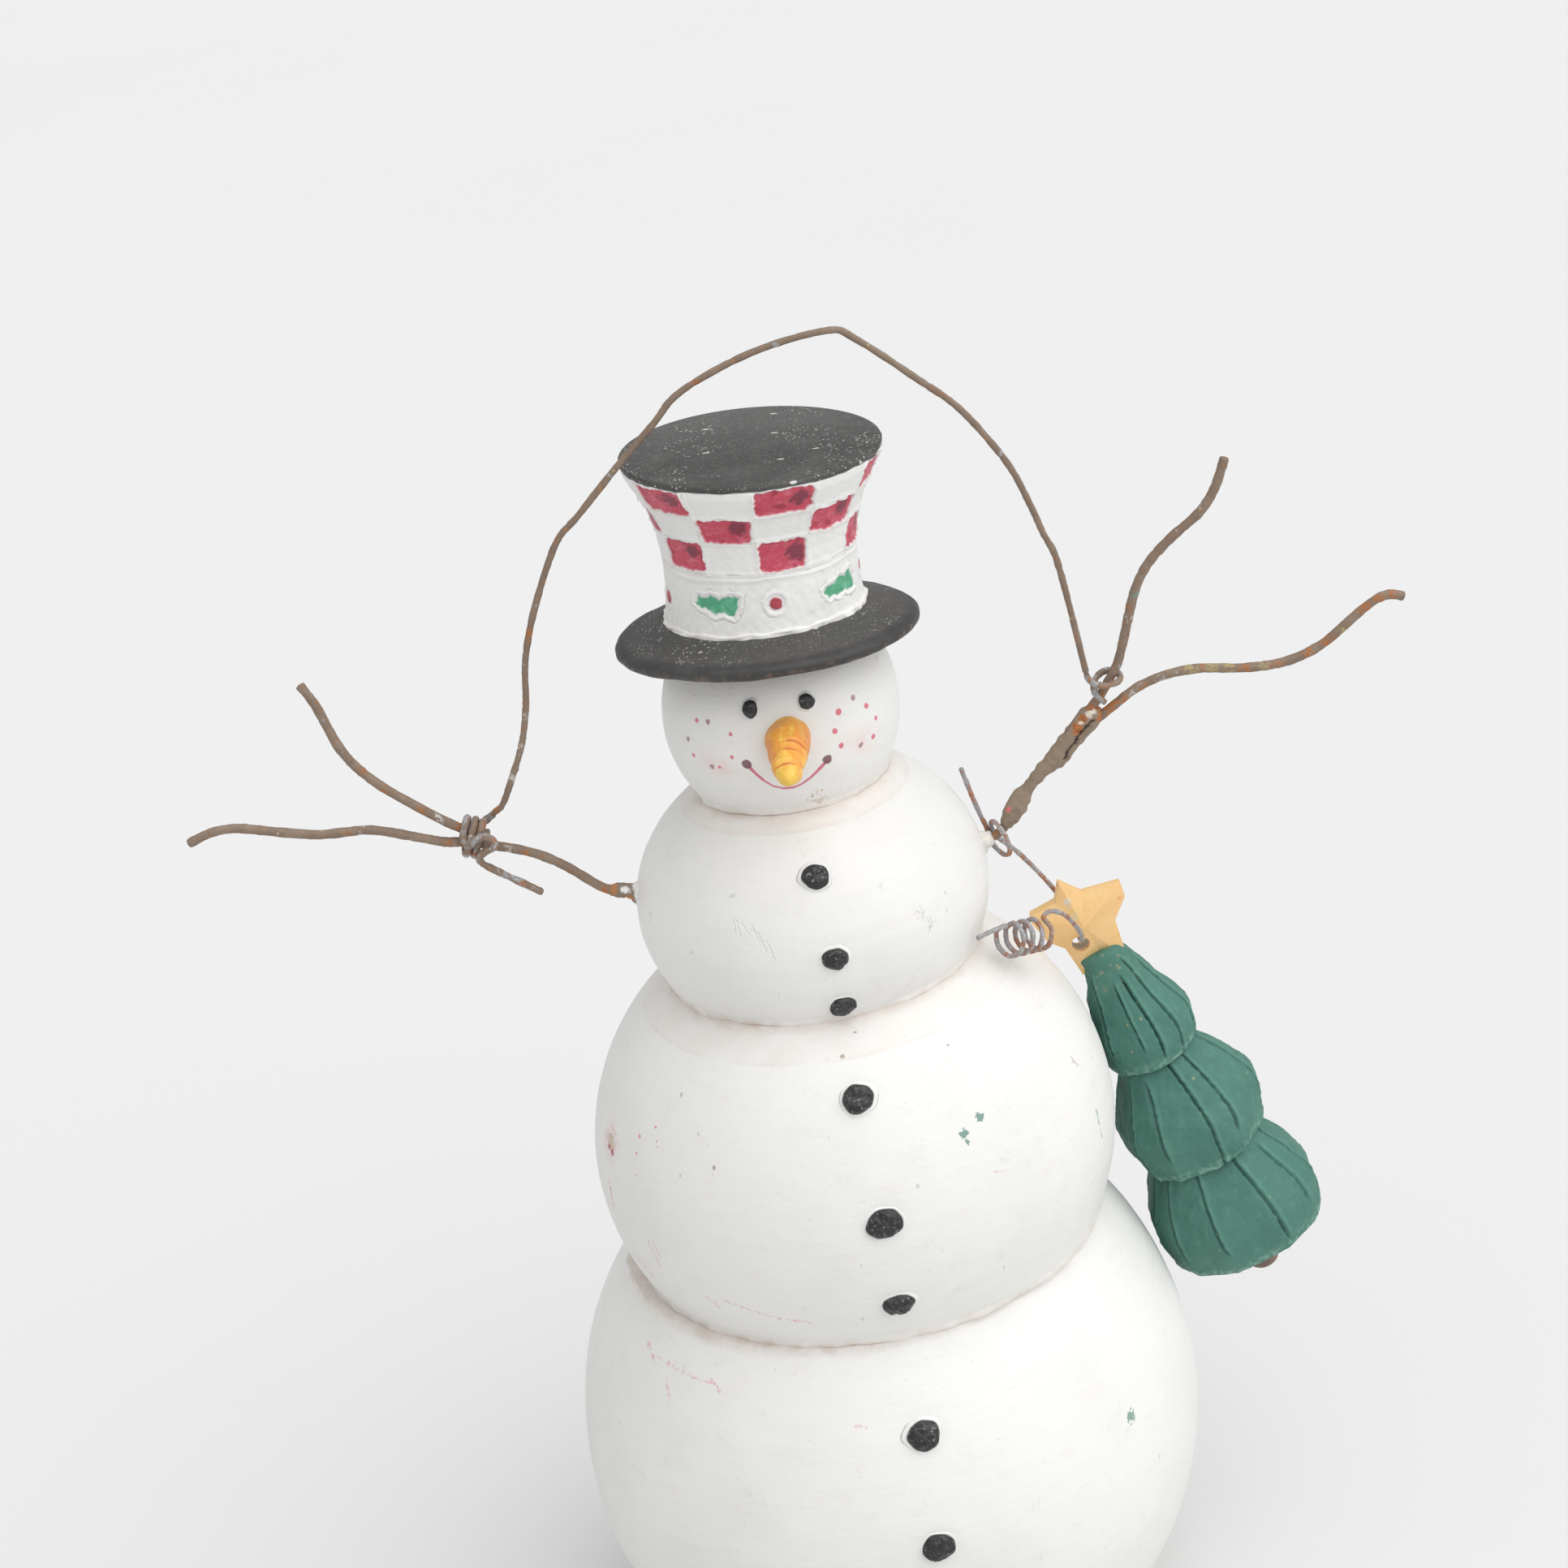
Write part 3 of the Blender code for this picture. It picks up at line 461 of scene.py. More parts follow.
def white_finish(name, ring_line, joints):
    """Brushed off-white gesso, darker at the joints, and darker still to their left as painted shade.

    ring_line is the lower edge of a glaze band below the joint above, or None.
    """
    paint = Finish(name, GESSO, 0.52)
    paint.over(paint.cloud(0.42, 0.68, 34, detail=4), (0.76, 0.755, 0.73), 0.55)
    paint.over(paint.cloud(0.56, 0.75, 11, (1, 1, 2.5), 4, 5.0), (0.80, 0.76, 0.70), 0.4)
    streak = paint.noise(4.2, (0.22, 0.22, 2.6), 4, 9.0)
    paint.over(paint.spread(streak, 0.55, 0.80), (0.74, 0.735, 0.72), 0.28)
    height = paint.axis("Z")
    if ring_line is not None:
        wave = paint.sum("MULTIPLY_ADD", paint.noise(9), 0.9, -0.45)
        level = paint.sum("ADD", height, wave)
        band = paint.spread(level, ring_line - 0.12, ring_line + 0.12)
        patchy = paint.cloud(0.25, 0.75, 7, (1, 1, 2), 4, 3.0)
        paint.over(paint.both(band, patchy), BEIGE, 0.20)
        paint.over(paint.both(band, patchy), (0.80, 0.74, 0.69), 0.30)
        edge = paint.both(band, patchy, paint.spread(level, ring_line + 0.75, ring_line + 0.1))
        paint.over(edge, (0.66, 0.56, 0.50), 0.22)
        paint.raised(band, -0.05)
    for joint in joints:
        off = paint.sum("ABSOLUTE", paint.sum("SUBTRACT", height, joint))
        off = paint.sum("ADD", off, paint.sum("MULTIPLY", paint.noise(3.2, detail=5), 2.2))
        # Painted shade: on the figure's left the joints are darker still.
        painted_left_shade = paint.both(paint.spread(paint.axis("X"), 8.0, -24.0),
                              paint.spread(paint.axis("X"), -43.0, -30.0))
        # Darker at each joint: a wide soft band and a narrower broken one.
        paint.over(paint.spread(off, 3.2, 1.1), (0.68, 0.57, 0.50), 0.36, 0.85)
        joint_darkening = paint.both(paint.spread(off, 2.6, 0.7), paint.cloud(0.32, 0.68, 4.0, shift=7))
        paint.over(joint_darkening, (0.56, 0.46, 0.39), 0.34, 0.9)
        paint.over(paint.both(joint_darkening, painted_left_shade), (0.46, 0.36, 0.29), 0.24, 0.9)
    smudge = paint.both(paint.cloud(0.56, 0.74, 6, (1, 1, 1.5), 5, 71.0),
                        paint.cloud(0.42, 0.66, 0.9, (1, 1, 0.7), 4, 77.0))
    paint.over(smudge, (0.62, 0.59, 0.55), 0.32)
    paint.over(paint.specks(3.4, 0.30, 0.24, (1.5, 1.5, 0.5), 83.0), (0.46, 0.43, 0.40), 0.32, 0.7)
    paint.over(paint.specks(5.0, 0.42, 0.16, (1, 1, 0.7)), GREY, 0.42, 0.7)
    paint.over(paint.specks(8.0, 0.5, 0.12, (1, 1, 0.8), 31.0), (0.55, 0.30, 0.24), 0.42, 0.7)
    paint.over(paint.specks(13.0, 0.62, 0.16, (1.4, 1.4, 0.6), 57.0), (0.20, 0.18, 0.17), 0.5, 0.7)
    paint.raised(paint.noise(1.7, (1, 1, 1.6), 4), 0.07)
    paint.raised(streak, 0.10)
    paint.raised(paint.specks(4.0, 0.5, 0.2, shift=11.0), -0.05)
    return paint


def chest_finish():
    paint = white_finish("chest_paint", 199.57, (BELLY_JOINT, CHEST_JOINT))
    scratches = strokes_on(
        CHEST, (-29.0, 10.2, 0.8, 2.6, 0.16), (-27.6, 9.8, 1.2, 3.0, 0.16), (-26.0, 9.4, 2.6, 2.0, 0.16),
        (-24.0, 8.6, 3.2, 1.2, 0.16), (-20.0, 7.4, 1.6, 3.2, 0.16), (-17.6, 6.0, 1.4, 3.4, 0.16),
        (-22.4, 8.8, 2.4, 2.8, 0.16), (34.0, 4.8, 1.4, 3.2, 0.16), (36.4, 3.0, -1.4, 3.6, 0.16))
    scratched = paint.strokes(scratches, 0.5, 0.35)
    paint.over(scratched, (0.88, 0.88, 0.87), 0.8, 0.35)
    paint.raised(scratched, -0.14)
    scuffs = spots_on(CHEST, (33.5, 4.3, 1.3), (36.5, 1.3, 1.1), (-29.7, 14.1, 0.8), (-69.2, 5.9, 1.0),
                      (22.7, 11.7, 0.5))
    scuffed = paint.spots(scuffs, 1.1, 1.2)
    broken = paint.cloud(0.48, 0.58, 0.8, shift=3.0)
    paint.over(paint.both(scuffed, broken), (0.42, 0.41, 0.38), 0.5, 0.8)
    return paint.done()


def belly_finish():
    paint = white_finish("belly_paint", 157.75, (BASE_JOINT, BELLY_JOINT))
    halo = paint.spots(spots_on(BELLY, (*CHIP, 3.6)), 2.2, 3.4)
    paint.over(paint.both(halo, paint.cloud(0.38, 0.6, 1.3)), (0.74, 0.38, 0.40), 0.55)
    chipped = paint.spots(spots_on(BELLY, (*CHIP, 1.5), (-70.6, 13.3, 0.9)), 0.8, 0.3)
    paint.over(chipped, (0.62, 0.55, 0.44), 0.9, 0.9)
    in_chip = spots_on(BELLY, (-70.2, 12.9, 0.8), (-72.4, 13.2, 0.5))
    paint.over(paint.spots(in_chip, 0.6, 0.3), (0.48, 0.15, 0.18), 0.85)
    paint.raised(chipped, -0.28)
    dots = spots_on(BELLY, (-58.8, 19.8, 0.38), (-53.7, 22.7, 0.36), (-58.9, 16.5, 0.34), (-58.3, 12.3, 0.30),
                    (-52.4, 20.4, 0.26), (-51.6, 19.6, 0.2), (-71.7, 4.2, 0.5), (-49.6, 20.0, 0.2))
    paint.over(paint.spots(dots, 0.25, 0.2), PINK, 0.85)
    smears = strokes_on(
        BELLY, (-56.0, -1.0, 2.2, 5.6, 0.30), (-54.2, -0.4, 1.8, 4.8, 0.24), (-66.0, -9.0, 5.0, 3.6, 0.34),
        (-63.0, -8.6, 5.0, 4.8, 0.26), (-72.0, 6.0, 0.8, 5.8, 0.45), (-41.6, -10.4, 2.6, 1.6, 0.34),
        (-40.8, -12.0, 1.8, 1.4, 0.28), (-37.0, -10.2, 9.0, 2.4, 0.15), (-28.0, -12.6, 9.0, 1.6, 0.15),
        (-20.4, -13.8, 3.4, 0.7, 0.24), (28.0, 10.2, 2.4, 1.0, 0.18))
    smeared(paint, smears, 0.8)
    green = spots_on(BELLY, (29.0, 20.5, 0.85), (23.8, 19.0, 0.8), (24.0, 17.4, 0.5))
    paint.over(paint.spots(green, 0.9, 0.25), (0.10, 0.24, 0.20), 0.85)
    thin = strokes_on(BELLY, (64.2, 6.3, -0.1, 3.3, 0.36), (64.1, 3.0, 0.4, 3.4, 0.28))
    paint.over(paint.strokes(thin, 0.25, 0.2), (0.12, 0.36, 0.27), 0.9)
    lines = strokes_on(BELLY, (36.6, 14.6, 0.6, 3.4, 0.1), (63.2, 18.6, 0.8, 2.2, 0.3),
                       (62.4, 17.8, 2.0, 0.4, 0.2))
    paint.over(paint.strokes(lines, 0.4, 0.2), (0.48, 0.36, 0.30), 0.6)
    flecks = spots_on(BELLY, (-34.6, 18.7, 0.4), (-0.3, 35.8, 0.42), (5.0, 38.6, 0.3), (30.0, 33.0, 0.3))
    paint.over(paint.spots(flecks, 0.35, 0.2), (0.34, 0.24, 0.19), 0.75)
    return paint.done()


def smeared(paint, smears, uneven):
    """Broken pink smears, where the hat's red has rubbed off."""
    broken = paint.cloud(0.40, 0.54, 0.9, shift=5.0)
    paint.over(paint.both(paint.strokes(smears, uneven, 0.5), broken), (0.72, 0.22, 0.30), 0.6)


def base_finish():
    paint = white_finish("base_paint", None, (BASE_JOINT,))
    smears = strokes_on(
        BASE, (-61.0, 39.6, 3.4, 1.6, 0.4), (-57.0, 38.9, 8.0, 0.5, 0.18), (-50.0, 38.5, 9.6, 0.3, 0.18),
        (-40.4, 38.8, 3.2, 1.2, 0.32), (-52.0, 36.0, 2.0, 2.4, 0.3), (-8.0, 33.2, 2.6, 0.6, 0.24))
    smeared(paint, smears, 0.9)
    paint.over(paint.spots(spots_on(BASE, (47.1, 14.5, 1.3)), 1.5, 0.25), (0.10, 0.26, 0.20), 0.8)
    return paint.done()


def on_face(azimuth, height):
    return at(HEAD, azimuth, height + 0.3)


def head_finish():
    paint = white_finish("face_paint", None, (CHEST_JOINT,))
    cheeks = ((-40.0, -2.6, 4.8), (-34.0, -3.8, 4.4), (33.0, -2.6, 5.0), (41.0, -3.4, 4.6))
    for azimuth, height, reach in cheeks:
        away = paint.vector("DISTANCE", paint.place, on_face(azimuth, height))
        cheek = paint.both(paint.spread(away, reach, 0.0), paint.cloud(0.2, 0.7, 4))
        paint.over(cheek, (0.80, 0.44, 0.42), 0.26)
    rosy = [(-46, 5.8, 0.47), (-27, 3.7, 0.47), (-51, -1.6, 0.45), (-36, -3.4, 0.44), (-28, -1.0, 0.50),
            (43.5, 3.1, 0.56), (27, 4.3, 0.66), (48, -0.2, 0.47), (23, 1.0, 0.56), (44.6, -3.5, 0.56),
            (25, -2.3, 0.59)]
    greyish = [(-39, 5.8, 0.54), (-53, 1.6, 0.49), (-40.5, -3.4, 0.58), (37, 5.7, 0.56), (36, -3.9, 0.54)]
    centres = [(azimuth + 0.7, height + 0.25, radius * 0.6) for azimuth, height, radius in greyish]
    for freckles, edge, colour, strength in (
        (rosy, (0.22, 0.25), (0.66, 0.12, 0.18), 0.9),
        (greyish, (0.22, 0.25), (0.33, 0.20, 0.22), 0.85),
        (centres, (0.2, 0.3), (0.55, 0.22, 0.27), 0.6),
    ):
        spots = [(on_face(azimuth, height), radius) for azimuth, height, radius in freckles]
        paint.over(paint.spots(spots, *edge), colour, strength)
    smile = [(-20.6, -2.9), (-18.4, -4.3), (-15.0, -6.2), (-11.0, -7.8), (-6.0, -8.65), (-1.0, -8.8),
             (3.6, -8.3), (8.0, -7.3), (12.4, -5.9), (16.6, -4.5)]
    widths = [0.44, 0.38, 0.30, 0.29, 0.31, 0.29, 0.29, 0.31, 0.38]
    line = [
        (on_face(*first), on_face(*second), wide)
        for first, second, wide in zip(smile, smile[1:], widths)
    ]
    paint.over(paint.strokes(line, 0.10, 0.16), (0.60, 0.12, 0.20), 0.92)
    corners = [(on_face(-21.2, -2.5), 1.02), (on_face(17.2, -4.2), 0.98)]
    paint.over(paint.spots(corners, 0.25, 0.2), (0.19, 0.085, 0.10), 0.95)
    hairs = [
        (on_face(-26.5, 13.4), on_face(-25.6, 11.0), 0.09), (on_face(-25.6, 11.0), on_face(-27.0, 9.6), 0.08),
        (on_face(-27.6, -1.2), on_face(-27.9, 0.8), 0.12), (on_face(-51, 4.0), on_face(-50, 2.4), 0.1),
    ]
    paint.over(paint.strokes(hairs, 0.2, 0.12), (0.32, 0.26, 0.22), 0.6)
    under_chin = paint.spots([(on_face(12.0, -12.6), 2.2)], 1.4, 1.6)
    paint.over(paint.both(under_chin, paint.cloud(0.5, 0.6, 0.7)), (0.50, 0.36, 0.22), 0.7)
    return paint.done()


BALL_POINTS = 300
BALL_ROWS = 150
JOINT_LAP = 0.22  # how far the paint of two balls runs into each other


def ball(name, sizes, finish, chips=()):
    """A hand-turned ball between two flats: a little uneven, with fillets at the joints."""
    low, high = (corner.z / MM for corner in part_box(name))
    low = low - JOINT_LAP if low > 1 else low
    high = high + JOINT_LAP
    centre_x, centre_z, half_width, half_height = sizes
    lowest = math.asin(max(-1, (low - centre_z) / half_height))
    highest = math.asin(min(1, (high - centre_z) / half_height))
    angle = np.linspace(lowest, highest, BALL_ROWS)[:, None]
    azimuth = round_steps(BALL_POINTS)
    rings = spin_rings(half_width * np.cos(angle), centre_z + half_height * np.sin(angle), azimuth,
                       (centre_x, 0))
    push = -0.22 * (0.5 + 0.5 * ripple(rings, 38, 3)) - 0.05 * (0.5 + 0.5 * ripple(rings, 9, 4))
    turned = rings * (0.15, 0.15, 1)
    push = push - 0.03 * (0.5 + 0.5 * ripple(turned, 3.4, 5))
    for centre, reach, depth in chips:
        push = push - depth * near(np.linalg.norm(rings - centre, axis=-1), reach, 1.2)
    rings = rings + outward_of(rings) * push[..., None]
    for flat, gap in ((low, 1), (high, -1)):
        joined = blend_in(1.5 - (rings[..., 2] - flat) * gap, 0, 1.5) * (flat > 1)
        lean = rings[..., :2] - (centre_x, 0)
        swell = 0.9 + 0.35 * ripple(rings, 8, 6)
        share = 1 + (joined * swell / np.linalg.norm(lean, axis=-1))[..., None] * 0.8
        rings[..., :2] = (centre_x, 0) + lean * share
    edge = rings[[0, -1]]
    inner = 0.6 * edge + 0.4 * edge.mean(1, keepdims=True)
    made = shell(name + "_skin", np.concatenate([inner[:1], rings, inner[1:]]), finish, angle=40)
    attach(made, "snowman")
    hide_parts(name)


# Coal nuggets ---------------------------------------------------------------------------------------


def coal_finish():
    coal = Finish("coal_paint", (0.016, 0.016, 0.018), 0.34)
    worn = coal.cloud(0.52, 0.72, 1.1, detail=5, shift=2.0)
    coal.over(worn, (0.085, 0.085, 0.09), 0.8, 0.6)
    coal.over(coal.specks(1.0, 0.2, 0.25), (0.38, 0.37, 0.36), 0.6, 0.8)
    # Pale grey patches: worn coal, and painted highlight standing in for glints.
    coal.over(coal.cloud(0.60, 0.68, 0.8, detail=4, shift=8.0), (0.30, 0.30, 0.31), 0.75, 0.6)
    coal.raised(coal.noise(0.9, detail=5), 0.16)
    return coal.done()


SHOULDER = 0.16  # share of a nugget's rows that lie in its socket
NUGGET_HALF = 0.49  # half of the width and height given, less a little for the lip


def nugget(name, ball_sizes, azimuth, height, wide, tall, seed, body_finish, coal, crater):
    """A nugget of coal with dents, in a socket with a raised white lip. crater may be None."""
    place, out = on_ball(ball_sizes, azimuth, height)
    sideways = Vector((0, 0, 1)).cross(out).normalized()
    upward = out.cross(sideways)
    rise = min(1.85, 0.34 * tall)
    dice = np.random.default_rng(seed)
    points, rows = 56, 20
    turn = math.tau * np.arange(points) / points
    phase = dice.uniform(0, math.tau, 4)
    outline = 1 + 0.04 * np.sin(2 * turn + phase[0]) + 0.03 * np.sin(3 * turn + phase[1])
    outline += 0.02 * np.sin(5 * turn + phase[2]) + 0.012 * np.sin(8 * turn + phase[3])
    level = np.linspace(0, 1, rows)[:, None]
    in_socket = level < SHOULDER
    climb = (level - SHOULDER) / (1 - SHOULDER)
    share = np.sqrt(np.clip(1 - np.clip(climb, 0, 1) ** 2.4, 0, 1)) * 0.985 + 0.015
    share = np.where(in_socket, 0.90 + 0.6 * level, share)
    lift = np.where(in_socket, -0.5 + level * 4.4, 0.2 + (rise - 0.2) * climb)
    across = share * outline * NUGGET_HALF
    offset_x = across * np.cos(turn) * wide
    offset_y = across * np.sin(turn) * tall
    local = np.stack([offset_x, offset_y, lift + 0 * turn], -1)
    rough = min(1.0, (wide / 5.5) ** 2)
    dent = 0.15 * ripple(local, 2.6, seed + 40) + 0.09 * ripple(local, 1.1, seed + 41)
    facet = 0.20 * np.abs(ripple(local, 4.0, seed + 42))
    local[..., 2] += rough * (dent - facet) * blend_in(level, 0.1, 0.5) - 0.05
    if crater is not None:
        away = np.hypot(local[..., 0] - crater[0], local[..., 1] - crater[1])
        local[..., 2] -= crater[3] * near(away, crater[2], 0.9)
    axes = np.array([sideways, upward, out])
    rings = np.array(place) + local @ axes
    lump = shell(name + "_nugget", rings, coal, angle=50)
    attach(lump, "snowman")
    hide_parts(name)

    profile = ((0.86, -0.5), (0.97, 0.10), (1.01, 0.17), (1.05, 0.15), (1.10, 0.07), (1.16, -0.02),
               (1.26, -0.25))
    rings = []
    for reach, rise_here in profile:
        stretched = 1 + (reach - 1) * (1 + 0.3 * np.sin(turn + phase[1]) + 0.15 * np.sin(3 * turn + phase[0]))
        ring_x = stretched * outline * NUGGET_HALF * wide * np.cos(turn)
        ring_y = stretched * outline * NUGGET_HALF * tall * np.sin(turn)
        sag = on_curve(ball_sizes, place, axes, ring_x, ring_y)
        uneven = rise_here * (0.85 + 0.35 * np.sin(2 * turn + phase[2]))
        rings.append(np.stack([ring_x, ring_y, sag + uneven], -1))
    rings = np.array(place) + np.array(rings) @ axes
    lip = shell(name + "_socket_lip", rings[::-1], body_finish)
    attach(lip, "snowman")


def on_curve(ball_sizes, place, axes, local_x, local_y):
    """How far the ball's surface lies behind the plane that touches it, at points of that plane."""
    centre_x, centre_z, half_width, half_height = ball_sizes
    points = np.array(place) + np.stack([local_x, local_y], -1) @ axes[:2]
    scaled = (points - (centre_x, 0, centre_z)) / (half_width, half_width, half_height)
    over = np.linalg.norm(scaled, axis=-1) - 1
    return -over * min(half_width, half_height)


# Hat ----------------------------------------------------------------------------------------------


def hat_place(lean, nod=0.0):
    turn = Matrix.Rotation(math.radians(lean), 4, "Y") @ Matrix.Rotation(math.radians(nod), 4, "X")
    return Matrix.Translation((0, 0, HAT_SEAT)) @ turn


SEAM_START = -4.0  # azimuth of a seam between two columns of squares
COLUMN = 30.0
ROW_EDGES = (17.6, 24.1, 29.7, 35.85)  # heights of the seams between the rows of squares
BAND_RADIUS = 18.9
CROWN_TOP = 36.5
CROWN_REACH = 25.15  # radius of the crown's top
LEAF = ((-5.2, 0.3), (-3.8, 1.9), (-2.4, 1.5), (-1.0, 1.9), (0.8, 1.2), (2.8, 1.7), (5.1, 1.2),
        (4.5, -0.5), (3.2, -2.7), (1.3, -1.6), (-0.6, -2.0), (-2.2, -0.9), (-3.7, -0.7))
BERRY_HEIGHT = 11.5
LEAVES = (-31.0, 50.5, 122.0, 186.0, -110.0)  # azimuths of the leaves
BERRIES = ((-76.5, -1.3), (4.7, 0.0), (87.0, 0.0), (154.0, 0.0), (218.0, 0.0))  # azimuth, height


def outside(outline, x, y):
    """Distance to a polygon, negative inside it."""
    corners = np.array(outline, float)
    best = np.full(x.shape, 1e9)
    inside = np.zeros(x.shape, bool)
    for (ax, ay), (bx, by) in zip(corners, np.roll(corners, -1, 0)):
        ex, ey = bx - ax, by - ay
        share = np.clip(((x - ax) * ex + (y - ay) * ey) / (ex * ex + ey * ey), 0, 1)
        best = np.minimum(best, np.hypot(x - ax - share * ex, y - ay - share * ey))
        crosses = ((ay > y) != (by > y)) & (x < ex * (y - ay) / np.where(ey == 0, 1e-9, ey) + ax)
        inside ^= crosses
    return np.where(inside, -best, best)


def wrapped(azimuth):
    return (azimuth + 180) % 360 - 180


def crown_squares(azimuth, height, rings):
    """Relief and marks of the three rows of squares: (relief, red, dark dab, seam)."""
    relief = np.zeros(azimuth.shape)
    red, dark, seam = (np.zeros(azimuth.shape) for _ in range(3))
    shift = 0.35 * ripple(rings, 5.0, 21)
    column = np.floor((azimuth - SEAM_START) / COLUMN)
    radius = 19.0 + 6.0 * blend_in(height, 20, 37)
    to_side = np.radians((azimuth - SEAM_START) % COLUMN - COLUMN / 2) * radius
    half_wide = math.radians(COLUMN / 2) * radius
    for number, (low, high) in enumerate(zip(ROW_EDGES, ROW_EDGES[1:])):
        row = 3 - number
        in_row = (height > low) & (height <= high)
        to_level = height - (low + high) / 2
        half_tall = (high - low) / 2
        picked = (column + row) % 2 == 1
        dice = 0.5 + 0.5 * np.sin(column * 12.9 + row * 78.2)
        inset_x = 0.38 + 0.30 * dice
        inset_y = 0.26 + 0.20 * (1 - dice) + (0.12 if row == 1 else 0)
        corner = 0.9
        box_x = np.abs(to_side + shift * 0.6) - (half_wide - inset_x - corner)
        box_y = np.abs(to_level + shift * 0.5) - (half_tall - inset_y - corner)
        away = np.hypot(np.maximum(box_x, 0), np.maximum(box_y, 0)) + np.minimum(np.maximum(box_x, box_y), 0)
        away = away - corner + 0.16 * ripple(rings, 1.5, 22)
        cell = near(away, 0, 0.3) * in_row * picked
        red = np.maximum(red, cell)
        relief -= 0.24 * near(away, 0.05, 0.5) * in_row * picked
        relief += 0.22 * hump(away - 0.34, 0.22) * in_row * picked
        dab_x = to_side - (half_wide * (0.40 + 0.12 * dice))
        dab_y = to_level - half_tall * (0.36 - 0.35 * dice)
        dab = np.hypot(dab_x / 1.9, dab_y / (1.35 + 0.8 * dice)) + 0.2 * ripple(rings, 1.6, 23)
        dark = np.maximum(dark, near(dab, 0.9, 0.6) * cell)
    in_squares = (height > ROW_EDGES[0] - 0.6) & (height < ROW_EDGES[-1] - 0.2)
    crack = np.abs(half_wide - np.abs(to_side + 0.25 * shift))
    level_gap = np.min([np.abs(height + 0.3 * shift - edge) for edge in ROW_EDGES[:3]], 0)
    broken = 0.15 + 0.85 * blend_in(ripple(rings, 5, 24), 0.0, 0.8)
    for gap in (crack, level_gap):
        line = hump(gap, 0.13) * in_squares * broken
        relief -= 0.22 * line
        relief += 0.17 * hump(gap - 0.12, 0.42) * in_squares
        seam = np.maximum(seam, line)
    return relief, red, dark, seam


def crown_band(azimuth, height, rings):
    """Relief and marks of the band under the squares: (relief, green leaf, red berry, groove)."""
    relief = np.zeros(azimuth.shape)
    leaf, berry, groove = (np.zeros(azimuth.shape) for _ in range(3))
    rough = 0.16 * ripple(rings, 1.4, 25)
    band = height < 18
    for number, middle in enumerate(LEAVES):
        side = np.radians(wrapped(azimuth - middle)) * BAND_RADIUS
        close = (np.abs(side) < 9) & band
        flip = 1 if number % 2 == 0 else -1
        tilt = 0.10 * flip
        local_x = side * math.cos(tilt) + (height - BERRY_HEIGHT) * math.sin(tilt)
        local_y = (height - BERRY_HEIGHT) * math.cos(tilt) - side * math.sin(tilt)
        away = np.where(close, outside(LEAF, local_x, local_y * flip), 9) + rough
        leaf = np.maximum(leaf, near(away, -0.15, 0.35))
        relief -= 0.16 * near(away, 0.1, 0.4)
        relief += 0.17 * hump(away - 0.6, 0.35)
        rim = hump(away - 1.05, 0.16) * blend_in(ripple(rings, 4, 26), -0.3, 0.4)
        relief -= 0.16 * rim
        veins = hump(local_y, 0.14) * near(away, -0.6, 0.4)
        relief -= 0.08 * veins
        groove = np.maximum(groove, np.maximum(rim, 0.5 * veins))
    for middle, lift in BERRIES:
        side = np.radians(wrapped(azimuth - middle)) * BAND_RADIUS
        away = np.where(band, np.hypot(side, height - BERRY_HEIGHT - lift), 9) + 0.5 * rough
        berry = np.maximum(berry, near(away, 1.22, 0.3))
        relief += 0.16 * near(away, 1.1, 0.7)
        ditch = hump(away - 1.5, 0.2)
        relief -= 0.16 * ditch
        relief += 0.16 * hump(away - 2.2, 0.45)
        # A faint groove arc on the left of each berry, darkened in colour as a painted shadow.
        outer = hump(away - 2.9, 0.16) * blend_in(-side, -0.5, 1.5)
        relief -= 0.10 * outer
        groove = np.maximum(groove, np.maximum(0.35 * ditch, 0.5 * outer))
    step = 16.3 + 0.25 * ripple(rings * (1, 1, 0), 14, 27)
    relief += 0.16 * hump(height - step, 0.35)
    groove = np.maximum(groove, 0.35 * hump(height - step + 0.7, 0.3))
    return relief, leaf, berry, groove


